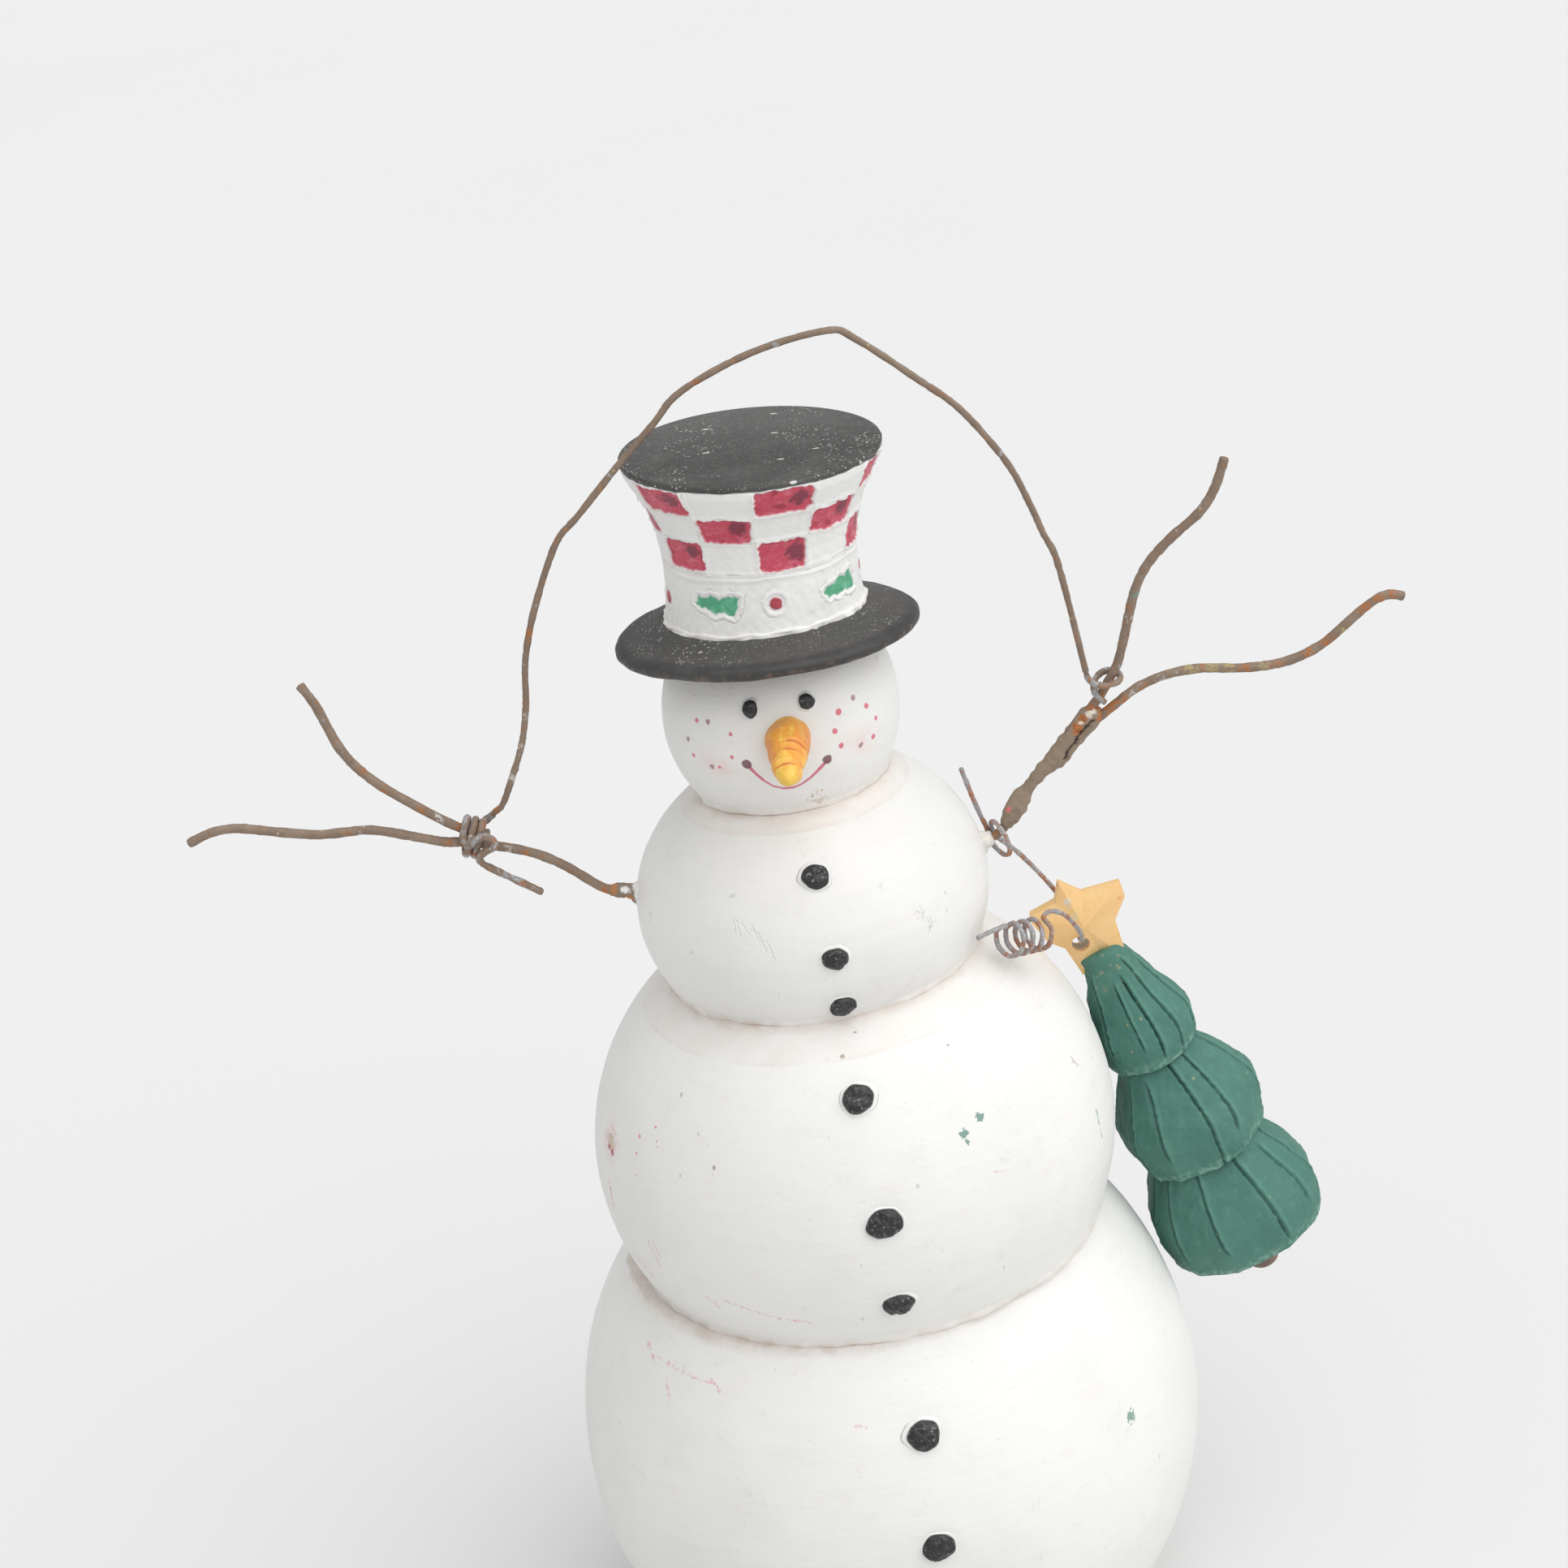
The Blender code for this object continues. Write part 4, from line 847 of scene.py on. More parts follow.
def crown_finish():
    paint = Finish("crown_paint", (0.86, 0.855, 0.84), 0.6)
    paint.over(paint.cloud(0.45, 0.7, 9, detail=4), (0.80, 0.795, 0.77), 0.5)
    # Darker along the seams and grooves; on the left of each berry this is a painted shadow arc.
    paint.over(paint.mark("seam"), (0.52, 0.49, 0.43), 0.40, 0.8)
    low = paint.spread(paint.mark("foot"), 0.0, 1.0)
    paint.over(paint.both(low, paint.cloud(0.35, 0.6, 2.2)), (0.66, 0.63, 0.58), 0.35)
    red = paint.mark("red")
    paint.over(red, (0.56, 0.040, 0.085), 0.97, 0.5)
    pale = paint.both(red, paint.cloud(0.46, 0.70, 2.2, (1, 1, 2.2), 5, 3.0))
    paint.over(pale, (0.66, 0.16, 0.22), 0.8)
    wine = paint.both(red, paint.cloud(0.54, 0.66, 2.8, detail=5, shift=33.0))
    paint.over(wine, (0.30, 0.022, 0.050), 0.75)
    rubbed = paint.both(red, paint.cloud(0.60, 0.72, 1.0, detail=5, shift=14.0))
    paint.over(rubbed, (0.74, 0.36, 0.40), 0.5)
    paint.over(paint.mark("dark"), (0.17, 0.03, 0.055), 0.85)
    deep = paint.both(red, paint.cloud(0.63, 0.7, 0.8, shift=19.0))
    paint.over(deep, (0.25, 0.02, 0.05), 0.6)
    leaf = paint.mark("leaf")
    paint.over(leaf, (0.055, 0.36, 0.19), 0.96, 0.5)
    paint.over(paint.both(leaf, paint.cloud(0.45, 0.66, 1.8, (1, 1, 0.6), 4, 6.0)),
               (0.20, 0.56, 0.37), 0.75)
    berry = paint.mark("berry")
    paint.over(berry, (0.40, 0.03, 0.055), 0.97, 0.45)
    paint.over(paint.both(berry, paint.cloud(0.5, 0.62, 0.9)), (0.60, 0.14, 0.18), 0.7)
    paint.over(paint.specks(3.4, 0.3, 0.2, shift=4.0), (0.30, 0.25, 0.20), 0.6)
    top = paint.mark("black")
    paint.over(top, (0.050, 0.049, 0.047), 1.0, 0.55)
    cloud = paint.both(top, paint.cloud(0.4, 0.7, 9.0, (1, 1, 1), 3, 2.0))
    paint.over(cloud, (0.080, 0.078, 0.075), 0.8)
    # Painted sheen: the black top is lighter towards the back.
    painted_rear_sheen = paint.both(top, paint.spread(paint.axis("Y"), -8.0, 24.0))
    paint.over(painted_rear_sheen, (0.125, 0.125, 0.122), 0.6)
    dusty(paint, top)
    paint.raised(paint.noise(0.9, detail=4), 0.10)
    paint.raised(paint.noise(0.35, detail=3, shift=5.0), 0.03)
    return paint.done()


def dusty(paint, where):
    """White flecks, grit and lint-like dashes over black paint."""
    haze = paint.both(where, paint.cloud(0.52, 0.76, 1.6, (1, 1, 1), 6, 12.0))
    paint.over(haze, (0.24, 0.235, 0.225), 0.30, 0.85)
    thick = paint.cloud(0.42, 0.58, 14.0, detail=3, shift=61.0)
    fine = paint.both(where, paint.specks(0.62, 0.15, 0.42))
    paint.over(fine, (0.38, 0.37, 0.35), 0.65, 0.9)
    powder = paint.both(where, thick, paint.specks(0.85, 0.24, 0.62, (1, 1, 1), 33.0))
    paint.over(powder, (0.52, 0.51, 0.49), 0.8, 0.9)
    grit = paint.both(where, thick, paint.specks(1.5, 0.27, 0.55, (1, 1, 1), 23.0))
    paint.over(grit, (0.66, 0.65, 0.62), 0.85, 0.9)
    dashes = paint.both(where, paint.specks(3.0, 0.42, 0.34, (0.42, 1.2, 1), 41.0))
    paint.over(dashes, (0.78, 0.76, 0.72), 0.9, 0.9)


def crown(finish):
    """Flared crown: carved squares and band, a proud lip at its foot, and a black top."""
    azimuth = round_steps(720)
    wall_height = np.concatenate([np.linspace(0, 0.08, 40, endpoint=False), np.linspace(0.08, 1, 180)])
    heights = (3.0, 5.2, 8.0, 12.0, 17.0, 21.0, 25.0, 28.2, 31.4, 34.2, 35.7, CROWN_TOP)
    radii = (19.5, 19.35, 19.0, 18.75, 18.75, 19.2, 20.1, 21.4, 23.05, 24.65, 25.1, CROWN_REACH)
    foot_x = np.sin(np.radians(azimuth)) * 19
    foot_y = -np.cos(np.radians(azimuth)) * 19
    foot = 4.2 + foot_x * math.tan(math.radians(HAT_LEAN - BRIM_LEAN))
    foot = foot + foot_y * math.tan(math.radians(BRIM_NOD))
    height = foot + (CROWN_TOP - foot) * wall_height[:, None]
    radius = np.interp(height, heights, radii)
    wall = spin_rings(radius, height, azimuth)
    out = outward_of(wall)
    around = np.broadcast_to(azimuth, height.shape)
    relief, red, dark, seam = crown_squares(around, height, wall)
    band_relief, leaf, berry, groove = crown_band(around, height, wall)
    relief = relief + band_relief
    above_foot = height - foot
    lip_top = 0.95 + 0.25 * ripple(wall * (1, 1, 0), 7, 28)
    lip = near(above_foot, lip_top, 0.35) * (0.55 + 0.18 * ripple(wall, 2.4, 29))
    uneven = 0.10 * ripple(wall, 12, 30) + 0.045 * ripple(wall, 2.2, 31)
    wall = wall + out * (relief + lip + uneven - 0.08)[..., None]

    black_edge = ROW_EDGES[-1] + 0.12 * ripple(wall * (1, 1, 0), 5, 32)
    black = blend_in(height, black_edge - 0.1, black_edge + 0.1)

    share = np.concatenate([[0.992, 0.978], np.linspace(0.955, 0.02, 90)])[:, None]
    rim_height = CROWN_TOP + np.array([0.32, 0.46] + [0.5] * 90)[:, None]
    top = spin_rings(CROWN_REACH * share, rim_height, azimuth)
    dent = np.hypot(top[..., 0] + 5.2, top[..., 1] + 5.0)
    sag = 0.10 * ripple(top, 15, 33) - 0.10 + 0.03 * ripple(top, 3, 34)
    sag = sag - 0.55 * near(dent, 0.8, 0.9) - 0.25 * near(dent, 1.6, 1.6)
    top[..., 2] += sag * blend_in(1 - share, 0.02, 0.08)
    rings = np.concatenate([wall, top])
    rings[..., 2] += 0.013 * rings[..., 1] * blend_in(rings[..., 2], 22, 36)
    marks = {
        "red": red * (1 - black),
        "dark": dark * (1 - black),
        "seam": np.maximum(seam, groove) * (1 - np.maximum(red, leaf)),
        "leaf": leaf,
        "berry": berry,
        "foot": near(above_foot, 1.4, 1.4),
        "black": black,
    }
    for key, on_wall in marks.items():
        on_top = np.full(top.shape[:2], 1.0 if key == "black" else 0.0)
        marks[key] = np.concatenate([on_wall, on_top])
    made = shell("hat_crown_skin", moved(rings, hat_place(HAT_LEAN)), finish, marks)
    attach(made, "snowman")
    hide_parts("hat_crown", "hat_peg")


def brim_finish():
    paint = Finish("brim_paint", (0.036, 0.035, 0.034), 0.55)
    paint.over(paint.cloud(0.42, 0.72, 7, detail=3), (0.062, 0.060, 0.058), 0.8)
    paint.over(paint.mark("top"), (0.082, 0.080, 0.077), 0.7, 0.7)
    worn = paint.both(paint.mark("edge"), paint.cloud(0.5, 0.66, 1.5, detail=5, shift=6.0))
    paint.over(worn, (0.16, 0.11, 0.085), 0.7)
    paint.over(paint.mark("under"), (0.20, 0.13, 0.10), 0.55)
    dusty(paint, paint.mark("top"))
    paint.raised(paint.noise(1.1, detail=5), 0.14)
    return paint.done()


def brim(finish):
    """Drooping brim with a rounded, slightly wavy rim."""
    azimuth = round_steps(420)
    profile = smooth_line(
        ((17.0, 4.55), (20.0, 4.4), (22.6, 3.35), (25.2, 2.35), (27.6, 1.6), (29.0, 0.95), (29.75, 0.2),
         (29.85, -0.55), (29.4, -1.25), (28.4, -1.6), (25.0, -1.5), (18.0, -1.4)), 7)
    radius, height = profile[:, 0][:, None], profile[:, 1][:, None]
    rings = spin_rings(radius, height, azimuth)
    outer = blend_in(radius, 21, 30)
    wave = 0.30 * ripple(rings * (1, 1, 0), 34, 35) + 0.06 * ripple(rings, 5, 36)
    rings[..., 2] += wave * outer
    rings[..., 2] += 0.7 * outer * near(np.abs(wrapped(azimuth)), 60, 60)
    in_out = (0.10 * ripple(rings, 9, 37) - 0.12) * outer
    rings[..., :2] *= 1 + (in_out / 30)[..., None]
    rows = np.arange(len(profile))[:, None] + 0 * azimuth
    marks = {
        "edge": near(np.abs(rings[..., 2] + 0.2), 1.0, 0.8) * outer,
        "under": blend_in(rows, 58, 60) * near(rows, 68, 4),
        "top": near(rows, 29, 8),
    }
    made = shell("hat_brim_skin", moved(rings, hat_place(BRIM_LEAN, BRIM_NOD)), finish, marks)
    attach(made, "snowman")
    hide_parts("hat_brim")


# Nose ---------------------------------------------------------------------------------------------


def nose_finish():
    paint = Finish("nose_paint", (0.88, 0.38, 0.065), 0.42)
    streaks = paint.noise(2.4, (1.6, 0.35, 0.7), 4, 3.0)
    paint.over(paint.spread(streaks, 0.47, 0.62), (0.93, 0.58, 0.11), 0.85)
    # Painted shade: the carrot is darker towards its left and right sides.
    paint.over(paint.spread(paint.mark("side"), 0.35, 1.0), (0.74, 0.235, 0.055), 0.6)
    paint.over(paint.mark("tip"), (0.82, 0.56, 0.080), 0.75)
    paint.over(paint.mark("root"), (0.82, 0.58, 0.16), 0.45)
    paint.over(paint.mark("ring"), (0.50, 0.075, 0.035), 0.8)
    paint.over(paint.both(paint.mark("tip"), paint.specks(1.2, 0.2, 0.3)), (0.92, 0.80, 0.34), 0.6)
    paint.raised(paint.noise(1.1, detail=4), 0.12)
    paint.raised(streaks, 0.08)
    return paint.done()


def nose(finish):
    """A drooping carrot with shallow, broken rings."""
    seat, tip = Vector((0.3, -21.3, 219.4)), Vector((-1.3, -38.6, 216.9))
    length = (tip - seat).length
    share = np.linspace(0, 1, 130)[:, None]
    azimuth = round_steps(96)
    shares = (0, 0.10, 0.22, 0.34, 0.46, 0.58, 0.70, 0.82, 0.90, 0.95, 0.98, 1.0)
    radii = (4.15, 4.28, 4.25, 3.95, 3.5, 3.12, 2.8, 2.42, 1.95, 1.4, 0.85, 0.12)
    radius = np.interp(share, shares, radii) + 0 * azimuth
    ring_mark = np.zeros(radius.shape)
    turn = np.radians(azimuth)
    for middle, start, span in ((0.24, 0.3, 1.5), (0.40, 0.1, 2.0), (0.44, 2.2, 0.9), (0.56, 2.6, 0.8),
                                (0.60, 4.6, 0.7), (0.72, 0.6, 1.2), (0.80, 3.4, 0.9)):
        bow = middle + 0.018 * np.cos(turn - start)
        off = np.abs((turn - start + math.pi) % math.tau - math.pi)
        line = hump(share - bow, 0.014) * near(off, span, 0.6)
        radius = radius - 0.26 * line
        radius = radius + 0.10 * hump(share - bow - 0.03, 0.02)
        ring_mark = np.maximum(ring_mark, line)
    rings = spin_rings(radius, share * length, azimuth)
    lumps = 0.16 * ripple(rings, 4.5, 51) * near(share, 0.9, 0.2)
    rings = rings + lumps[..., None] * outward_of(rings)
    marks = {
        "ring": ring_mark,
        "tip": blend_in(share, 0.78, 0.97) + 0 * azimuth,
        "root": near(share, 0.10, 0.2) + 0 * azimuth,
        # side: painted shade towards the carrot's left and right.
        "side": np.abs(np.sin(turn)) * near(share, 0.62, 0.5),
    }
    along = (tip - seat).normalized()
    turn_to = along.to_track_quat("Z", "Y").to_matrix().to_4x4()
    rings = moved(rings, Matrix.Translation(seat) @ turn_to)
    made = shell("carrot_nose_skin", rings, finish, marks)
    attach(made, "snowman")
    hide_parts("carrot_nose")


# Wires and putty ------------------------------------------------------------------------------------


def wire_finish(name, bare):
    """Brown-grey paint over galvanised wire, with rust. bare is the share of paint that has gone."""
    paint = Finish(name, (0.225, 0.158, 0.112), 0.6)
    paint.over(paint.cloud(0.4, 0.65, 5, detail=5), (0.290, 0.220, 0.162), 0.7)
    paint.over(paint.cloud(0.60, 0.72, 1.4, detail=5, shift=4.0), (0.125, 0.090, 0.066), 0.6)
    gone = paint.cloud(0.66 - 0.36 * bare, 0.72 - 0.36 * bare, 2.6, detail=6, shift=9.0)
    paint.over(gone, (0.33, 0.325, 0.34), 0.85, 0.42)
    glint = paint.both(gone, paint.cloud(0.55, 0.66, 0.6, detail=4, shift=2.0))
    paint.over(glint, (0.66, 0.66, 0.69), 0.7, 0.35)
    rust = paint.cloud(0.60 - 0.09 * bare, 0.67 - 0.09 * bare, 2.9, detail=6, shift=15.0)
    paint.over(rust, (0.38, 0.135, 0.045), 0.75, 0.85)
    paint.over(paint.specks(1.9, 0.42, 0.30, shift=3.0), (0.46, 0.19, 0.05), 0.6, 0.85)
    paint.over(paint.specks(2.8, 0.4, 0.22, shift=17.0), (0.56, 0.47, 0.24), 0.5)
    patchy = paint.cloud(0.42, 0.56, 0.9, detail=5, shift=27.0)
    paint.over(paint.both(paint.mark("rust"), patchy), (0.44, 0.15, 0.035), 0.85, 0.85)
    paint.over(paint.both(paint.mark("yellow"), patchy), (0.46, 0.38, 0.17), 0.7, 0.8)
    chipped = paint.both(paint.mark("bright"), paint.cloud(0.46, 0.56, 0.8, detail=5, shift=45.0))
    paint.over(chipped, (0.58, 0.56, 0.53), 0.85, 0.6)
    paint.over(paint.both(paint.mark("green"), patchy), (0.12, 0.34, 0.26), 0.7)
    paint.raised(paint.noise(0.8, detail=4), 0.16)
    return paint.done()


def marked(rings, spots, uneven, edge):
    """Where the rings lie within spots, each (centre, reach), whose outlines are uneven."""
    mask = np.zeros(rings.shape[:2])
    for centre, reach in spots:
        away = np.linalg.norm(rings - np.array(centre), axis=-1) + uneven
        mask = np.maximum(mask, near(away, reach, edge))
    return mask


def wire_piece(node, name, body, slot, radius, finish, lumpy=0.05, longer=0.0, **spots):
    """A rounder wire of uneven thickness along a CAD wire's line, with marks near the given points.

    longer is how far each of its ends is drawn out.
    """
    line = smooth_line(middle_of(node), 5)
    for end, inner in ((0, 2), (-1, -3)):
        step = line[end] - line[inner]
        line[end] = line[end] + longer * step / np.linalg.norm(step)
    radii = radius * (1 + lumpy * ripple(line, 3.2, len(name)) + 0.6 * lumpy * ripple(line, 1.1, 7))
    line, radii = blunt_ends(line, radii)
    rings = tube_rings(line, radii, 14)
    out = outward_of(rings)
    rings = rings + out * (0.035 * ripple(rings, 0.9, 61))[..., None]
    uneven = 0.35 * ripple(rings, 1.3, 62)
    marks = {
        key: marked(rings, spots.get(key, ()), uneven, 0.6) for key in ("rust", "bright", "green", "yellow")
    }
    made = shell(name, rings, finish, marks)
    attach(made, body)
    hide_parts(node)


def putty_finish(name, colour):
    paint = Finish(name, colour, 0.75)
    paint.over(paint.cloud(0.42, 0.68, 3, detail=5), tuple(0.72 * c for c in colour), 0.5)
    paint.over(paint.specks(1.2, 0.24, 0.35), (0.42, 0.38, 0.30), 0.45)
    paint.over(paint.mark("rust"), (0.46, 0.16, 0.04), 0.9, 0.85)
    paint.over(paint.both(paint.mark("rust"), paint.cloud(0.5, 0.62, 0.7)),
               (0.25, 0.075, 0.03), 0.7)
    paint.over(paint.mark("chip"), (0.84, 0.82, 0.76), 0.95, 0.7)
    paint.over(paint.both(paint.mark("chip"), paint.cloud(0.5, 0.6, 0.8, shift=5.0)),
               (0.78, 0.62, 0.38), 0.6)
    paint.over(paint.mark("crack"), (0.02, 0.012, 0.01), 0.95, 0.9)
    paint.over(paint.mark("pink"), (0.66, 0.16, 0.16), 0.9)
    paint.raised(paint.noise(0.9, detail=5), 0.2)
    return paint.done()


def sleeve(node, name, stations, finish, spots, crack=None, flat=0.8):
    """Putty along an arm: (point, radius) stations, flattened front to back, with cracks and chips."""
    line = smooth_line([place for place, _ in stations], 10)
    radii = smooth_line([(radius, 0, 0) for _, radius in stations], 10)[:, 0]
    radii = rounded_ends(radii, 5)
    rings = tube_rings(line, radii, 40, ((0, 1, 0), flat))
    out = outward_of(rings)
    push = 0.13 * ripple(rings, 3.0, 64) + 0.07 * ripple(rings, 1.2, 65)
    split = np.zeros(rings.shape[:2])
    if crack is not None:
        path = smooth_line(crack, 8)
        for point in path:
            away = np.hypot(rings[..., 0] - point[0], rings[..., 2] - point[2]) + 3 * (rings[..., 1] > 0)
            away = away + 0.12 * ripple(rings, 1.1, 66)
            split = np.maximum(split, hump(away, 0.34))
        push = push - 0.55 * split
    uneven = 0.3 * ripple(rings, 1.4, 63)
    masks = {key: marked(rings, spots.get(key, ()), uneven, 0.35) for key in ("rust", "chip", "pink")}
    push = push - 0.22 * masks["chip"] - 0.10 * masks["rust"]
    rings = rings + out * push[..., None]
    masks["crack"] = blend_in(split, 0.35, 0.7)
    made = shell(name, rings, finish, masks)
    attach(made, "snowman")
    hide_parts(node)


def arms():
    brown = wire_finish("brown_wire_paint", 0.10)
    mixed = wire_finish("worn_wire_paint", 0.42)
    bare = wire_finish("bare_wire_metal", 0.85)
    # Radii of the wires.
    arm, handle, hanger = 0.95, 0.65, 0.5
    left_tie, right_tie = 0.74, 0.64
    wire_piece("left_arm_wire", "left_arm", "snowman", "brown_wire", arm, brown,
               rust=(((-41.3, -0.6, 184.9), 1.0), ((-66.0, 0, 200.2), 1.1), ((-69.5, -0.6, 200.9), 0.8)),
               bright=(((-57.6, -0.6, 197.3), 0.8),))
    wire_piece("left_finger_wire", "left_finger", "snowman", "brown_wire", arm, brown,
               rust=(((-66.4, -0.5, 203.4), 1.3), ((-73.2, -0.8, 208.6), 0.9), ((-79.4, -0.6, 214.4), 0.9)),
               bright=(((-70.4, -0.8, 206.4), 0.9),))
    wire_piece("right_arm_wire", "right_arm", "snowman", "brown_wire", arm, brown,
               rust=(((64.0, -0.6, 204.2), 1.7), ((66.6, -0.6, 205.8), 1.4), ((71.0, -0.7, 207.8), 0.8),
                     ((91.0, -0.7, 207.7), 1.1), ((98.0, -0.7, 207.4), 0.7), ((104.0, -0.7, 208.6), 1.3),
                     ((108.2, -0.7, 210.4), 1.3), ((116.0, -0.7, 215.8), 1.5), ((118.8, -0.7, 217.2), 1.2),
                     ((121.6, -0.7, 217.5), 1.0), ((38.4, -0.6, 181.9), 0.9)),
               yellow=(((80.6, -0.7, 209.3), 1.6), ((84.6, -0.7, 209.0), 1.4), ((88.0, -0.7, 208.3), 1.2),
                       ((95.0, -0.7, 207.3), 1.0), ((111.0, -0.7, 212.2), 1.0)),
               bright=(((68.6, -0.8, 206.6), 0.8), ((74.6, -0.8, 208.6), 0.7)))
    wire_piece("right_finger_wire", "right_finger", "snowman", "brown_wire", arm, brown,
               rust=(((60.4, -0.8, 205.0), 1.4), ((62.4, -0.8, 207.4), 1.0), ((70.2, -0.8, 224.4), 0.6)),
               bright=(((69.8, -0.8, 222.4), 0.6),), green=(((71.6, -0.8, 226.8), 0.9),))
    wire_piece("handle_bail", "handle_wire", "handle", "brown_wire", handle, brown, longer=0.8,
               rust=(((-58.6, -1.0, 206.2), 1.0), ((-44.6, -8.2, 243.4), 1.2)),
               bright=(((-54.0, -3.9, 213.4), 1.0), ((-51.2, -4.9, 219.6), 1.1), ((-49.4, -5.6, 226.4), 0.9)),
               lumpy=0.07)
    wire_piece("left_knot", "left_knot_wire", "snowman", "bare_wire", left_tie, mixed,
               bright=(((-64.0, -2.6, 201.4), 1.4), ((-66.0, -1.8, 197.4), 1.0)), lumpy=0.08)
    wire_piece("right_knot", "right_knot_wire", "snowman", "bare_wire", right_tie, mixed, lumpy=0.10)
    wire_piece("hanger_wire", "hanger", "hanger", "bare_wire", hanger, bare, lumpy=0.07,
               rust=(((41.6, -12.0, 160.2), 2.0), ((38.6, -13.0, 165.8), 2.2), ((36.4, -14.4, 161.4), 1.8),
                     ((44.2, -10.0, 166.0), 1.4), ((39.6, -2.6, 178.6), 1.6), ((47.4, 14.0, 163.6), 2.0),
                     ((34.6, 3.5, 189.0), 1.2)))

    putty = putty_finish("putty_paint", (0.285, 0.215, 0.155))
    filler = putty_finish("filler_paint", (0.78, 0.765, 0.73))
    sleeve("right_arm_lower_putty", "right_arm_lower_lump",
           (((39.9, 0, 182.9), 1.05), ((40.6, 0, 183.8), 1.45), ((41.5, 0, 185.0), 1.9),
            ((42.7, 0, 186.7), 2.15), ((44.0, 0, 188.4), 1.9), ((45.4, 0, 190.0), 1.35),
            ((47.0, 0, 191.6), 1.15)),
           putty, {"pink": (((41.0, -1.3, 187.0), 0.5),)})
    sleeve("right_arm_fork_putty", "right_arm_fork_lump",
           (((45.4, 0, 190.2), 1.15), ((47.2, 0, 191.9), 1.3), ((49.0, 0, 193.5), 1.5),
            ((50.6, 0, 194.6), 1.75), ((52.4, 0, 196.0), 2.1), ((54.8, 0, 198.4), 2.15),
            ((57.2, 0, 200.7), 2.3), ((59.2, 0, 202.6), 2.35), ((60.8, 0, 204.0), 2.0),
            ((61.8, 0, 204.9), 1.3)),
           putty,
           {"rust": (((56.6, -1.6, 201.8), 1.3), ((57.8, -1.5, 203.4), 1.0), ((60.8, -1.0, 205.6), 1.2),
                     ((62.0, -0.8, 203.4), 1.3)),
            "chip": (((60.0, -1.7, 204.7), 0.95), ((57.4, -1.8, 202.9), 0.5))},
           crack=((53.6, -2.1, 195.6), (54.6, -2.2, 197.4), (56.0, -2.3, 198.8), (56.6, -2.3, 200.0),
                  (59.0, -2.2, 202.2), (60.2, -2.1, 202.9)))
    sleeve("left_arm_collar", "left_arm_lump",
           (((-33.2, 0, 182.3), 3.3), ((-34.4, 0, 182.8), 2.5), ((-35.6, 0, 183.3), 1.75),
            ((-37.0, 0, 183.7), 1.55), ((-38.6, 0, 184.1), 1.45), ((-40.2, 0, 184.6), 1.2)),
           filler_with_rust(), {"rust": (((-39.4, 0, 184.4), 1.4), ((-36.4, -0.8, 182.6), 1.1)),
                                "chip": (((-36.8, -1.2, 184.4), 0.9),)}, flat=1.0)
    sleeve("right_arm_collar", "right_arm_lump",
           (((34.2, 0, 180.4), 2.9), ((35.3, 0, 180.7), 2.1), ((36.4, 0, 181.0), 1.5),
            ((37.4, 0, 181.4), 1.2)),
           filler, {"chip": (((36.2, -1.4, 181.6), 0.8),)}, flat=1.0)


def filler_with_rust():
    """White filler at the chest that turns to the arm's own paint further out."""
    paint = Finish("filler_and_arm_paint", (0.78, 0.765, 0.73), 0.65)
    out = paint.sum("MULTIPLY", paint.axis("X"), -1.0)
    reach = paint.sum("ADD", out, paint.sum("MULTIPLY", paint.noise(1.4), 1.6))
    arm = paint.spread(reach, 35.9, 36.3)
    paint.over(arm, (0.235, 0.175, 0.13), 0.96)
    paint.over(paint.mark("rust"), (0.50, 0.19, 0.045), 0.8, 0.85)
    paint.over(paint.mark("chip"), (0.88, 0.87, 0.84), 0.97)
    paint.over(paint.both(paint.mark("crack"), arm), (0.05, 0.03, 0.02))
    paint.over(paint.both(paint.mark("pink"), arm), (0.6, 0.2, 0.2))
    paint.raised(paint.noise(0.9, detail=4), 0.12)
    return paint.done()


# Star and tree --------------------------------------------------------------------------------------


STAR_MIDDLE = 12.0  # distance of the star's plane behind the figure's middle
STAR_EDGE = 1.3


def star_finish():
    paint = Finish("star_paint_worn", (0.87, 0.55, 0.235), 0.55)
    paint.over(paint.cloud(0.4, 0.7, 5, detail=4), (0.90, 0.62, 0.30), 0.6)
    paint.over(paint.cloud(0.56, 0.72, 1.6, detail=5, shift=5.0), (0.78, 0.46, 0.19), 0.45)
    paint.over(paint.specks(2.6, 0.22, 0.3), (0.55, 0.33, 0.18), 0.5)
    greys = paint.spots([((51.0, 9.6, 159.2), 0.75), ((51.3, 9.8, 158.0), 0.5), ((52.2, 9.0, 156.3), 0.5),
                         ((52.6, 9.0, 155.4), 0.4)], 0.8, 0.3)
    paint.over(greys, (0.66, 0.65, 0.58), 0.8)
    yellow = paint.spots([((52.0, 9.6, 156.6), 1.6), ((51.6, 10.0, 158.0), 1.0)], 1.0, 0.8)
    paint.over(yellow, (0.76, 0.56, 0.22), 0.5)
    hole = paint.spots([((52.7, 12.0, 149.3), 2.15)], 0.15, 0.2)
    depth = paint.spread(paint.axis("Y"), 9.7, 10.2)
    paint.over(paint.both(hole, depth), (0.66, 0.58, 0.47), 0.9)
    paint.over(paint.spots([((61.8, 10.8, 157.6), 0.6), ((61.9, 10.6, 144.6), 0.7)], 0.4, 0.3),
               (0.72, 0.24, 0.16), 0.6)
    paint.raised(paint.noise(1.3, detail=5), 0.16)
    return paint.done()


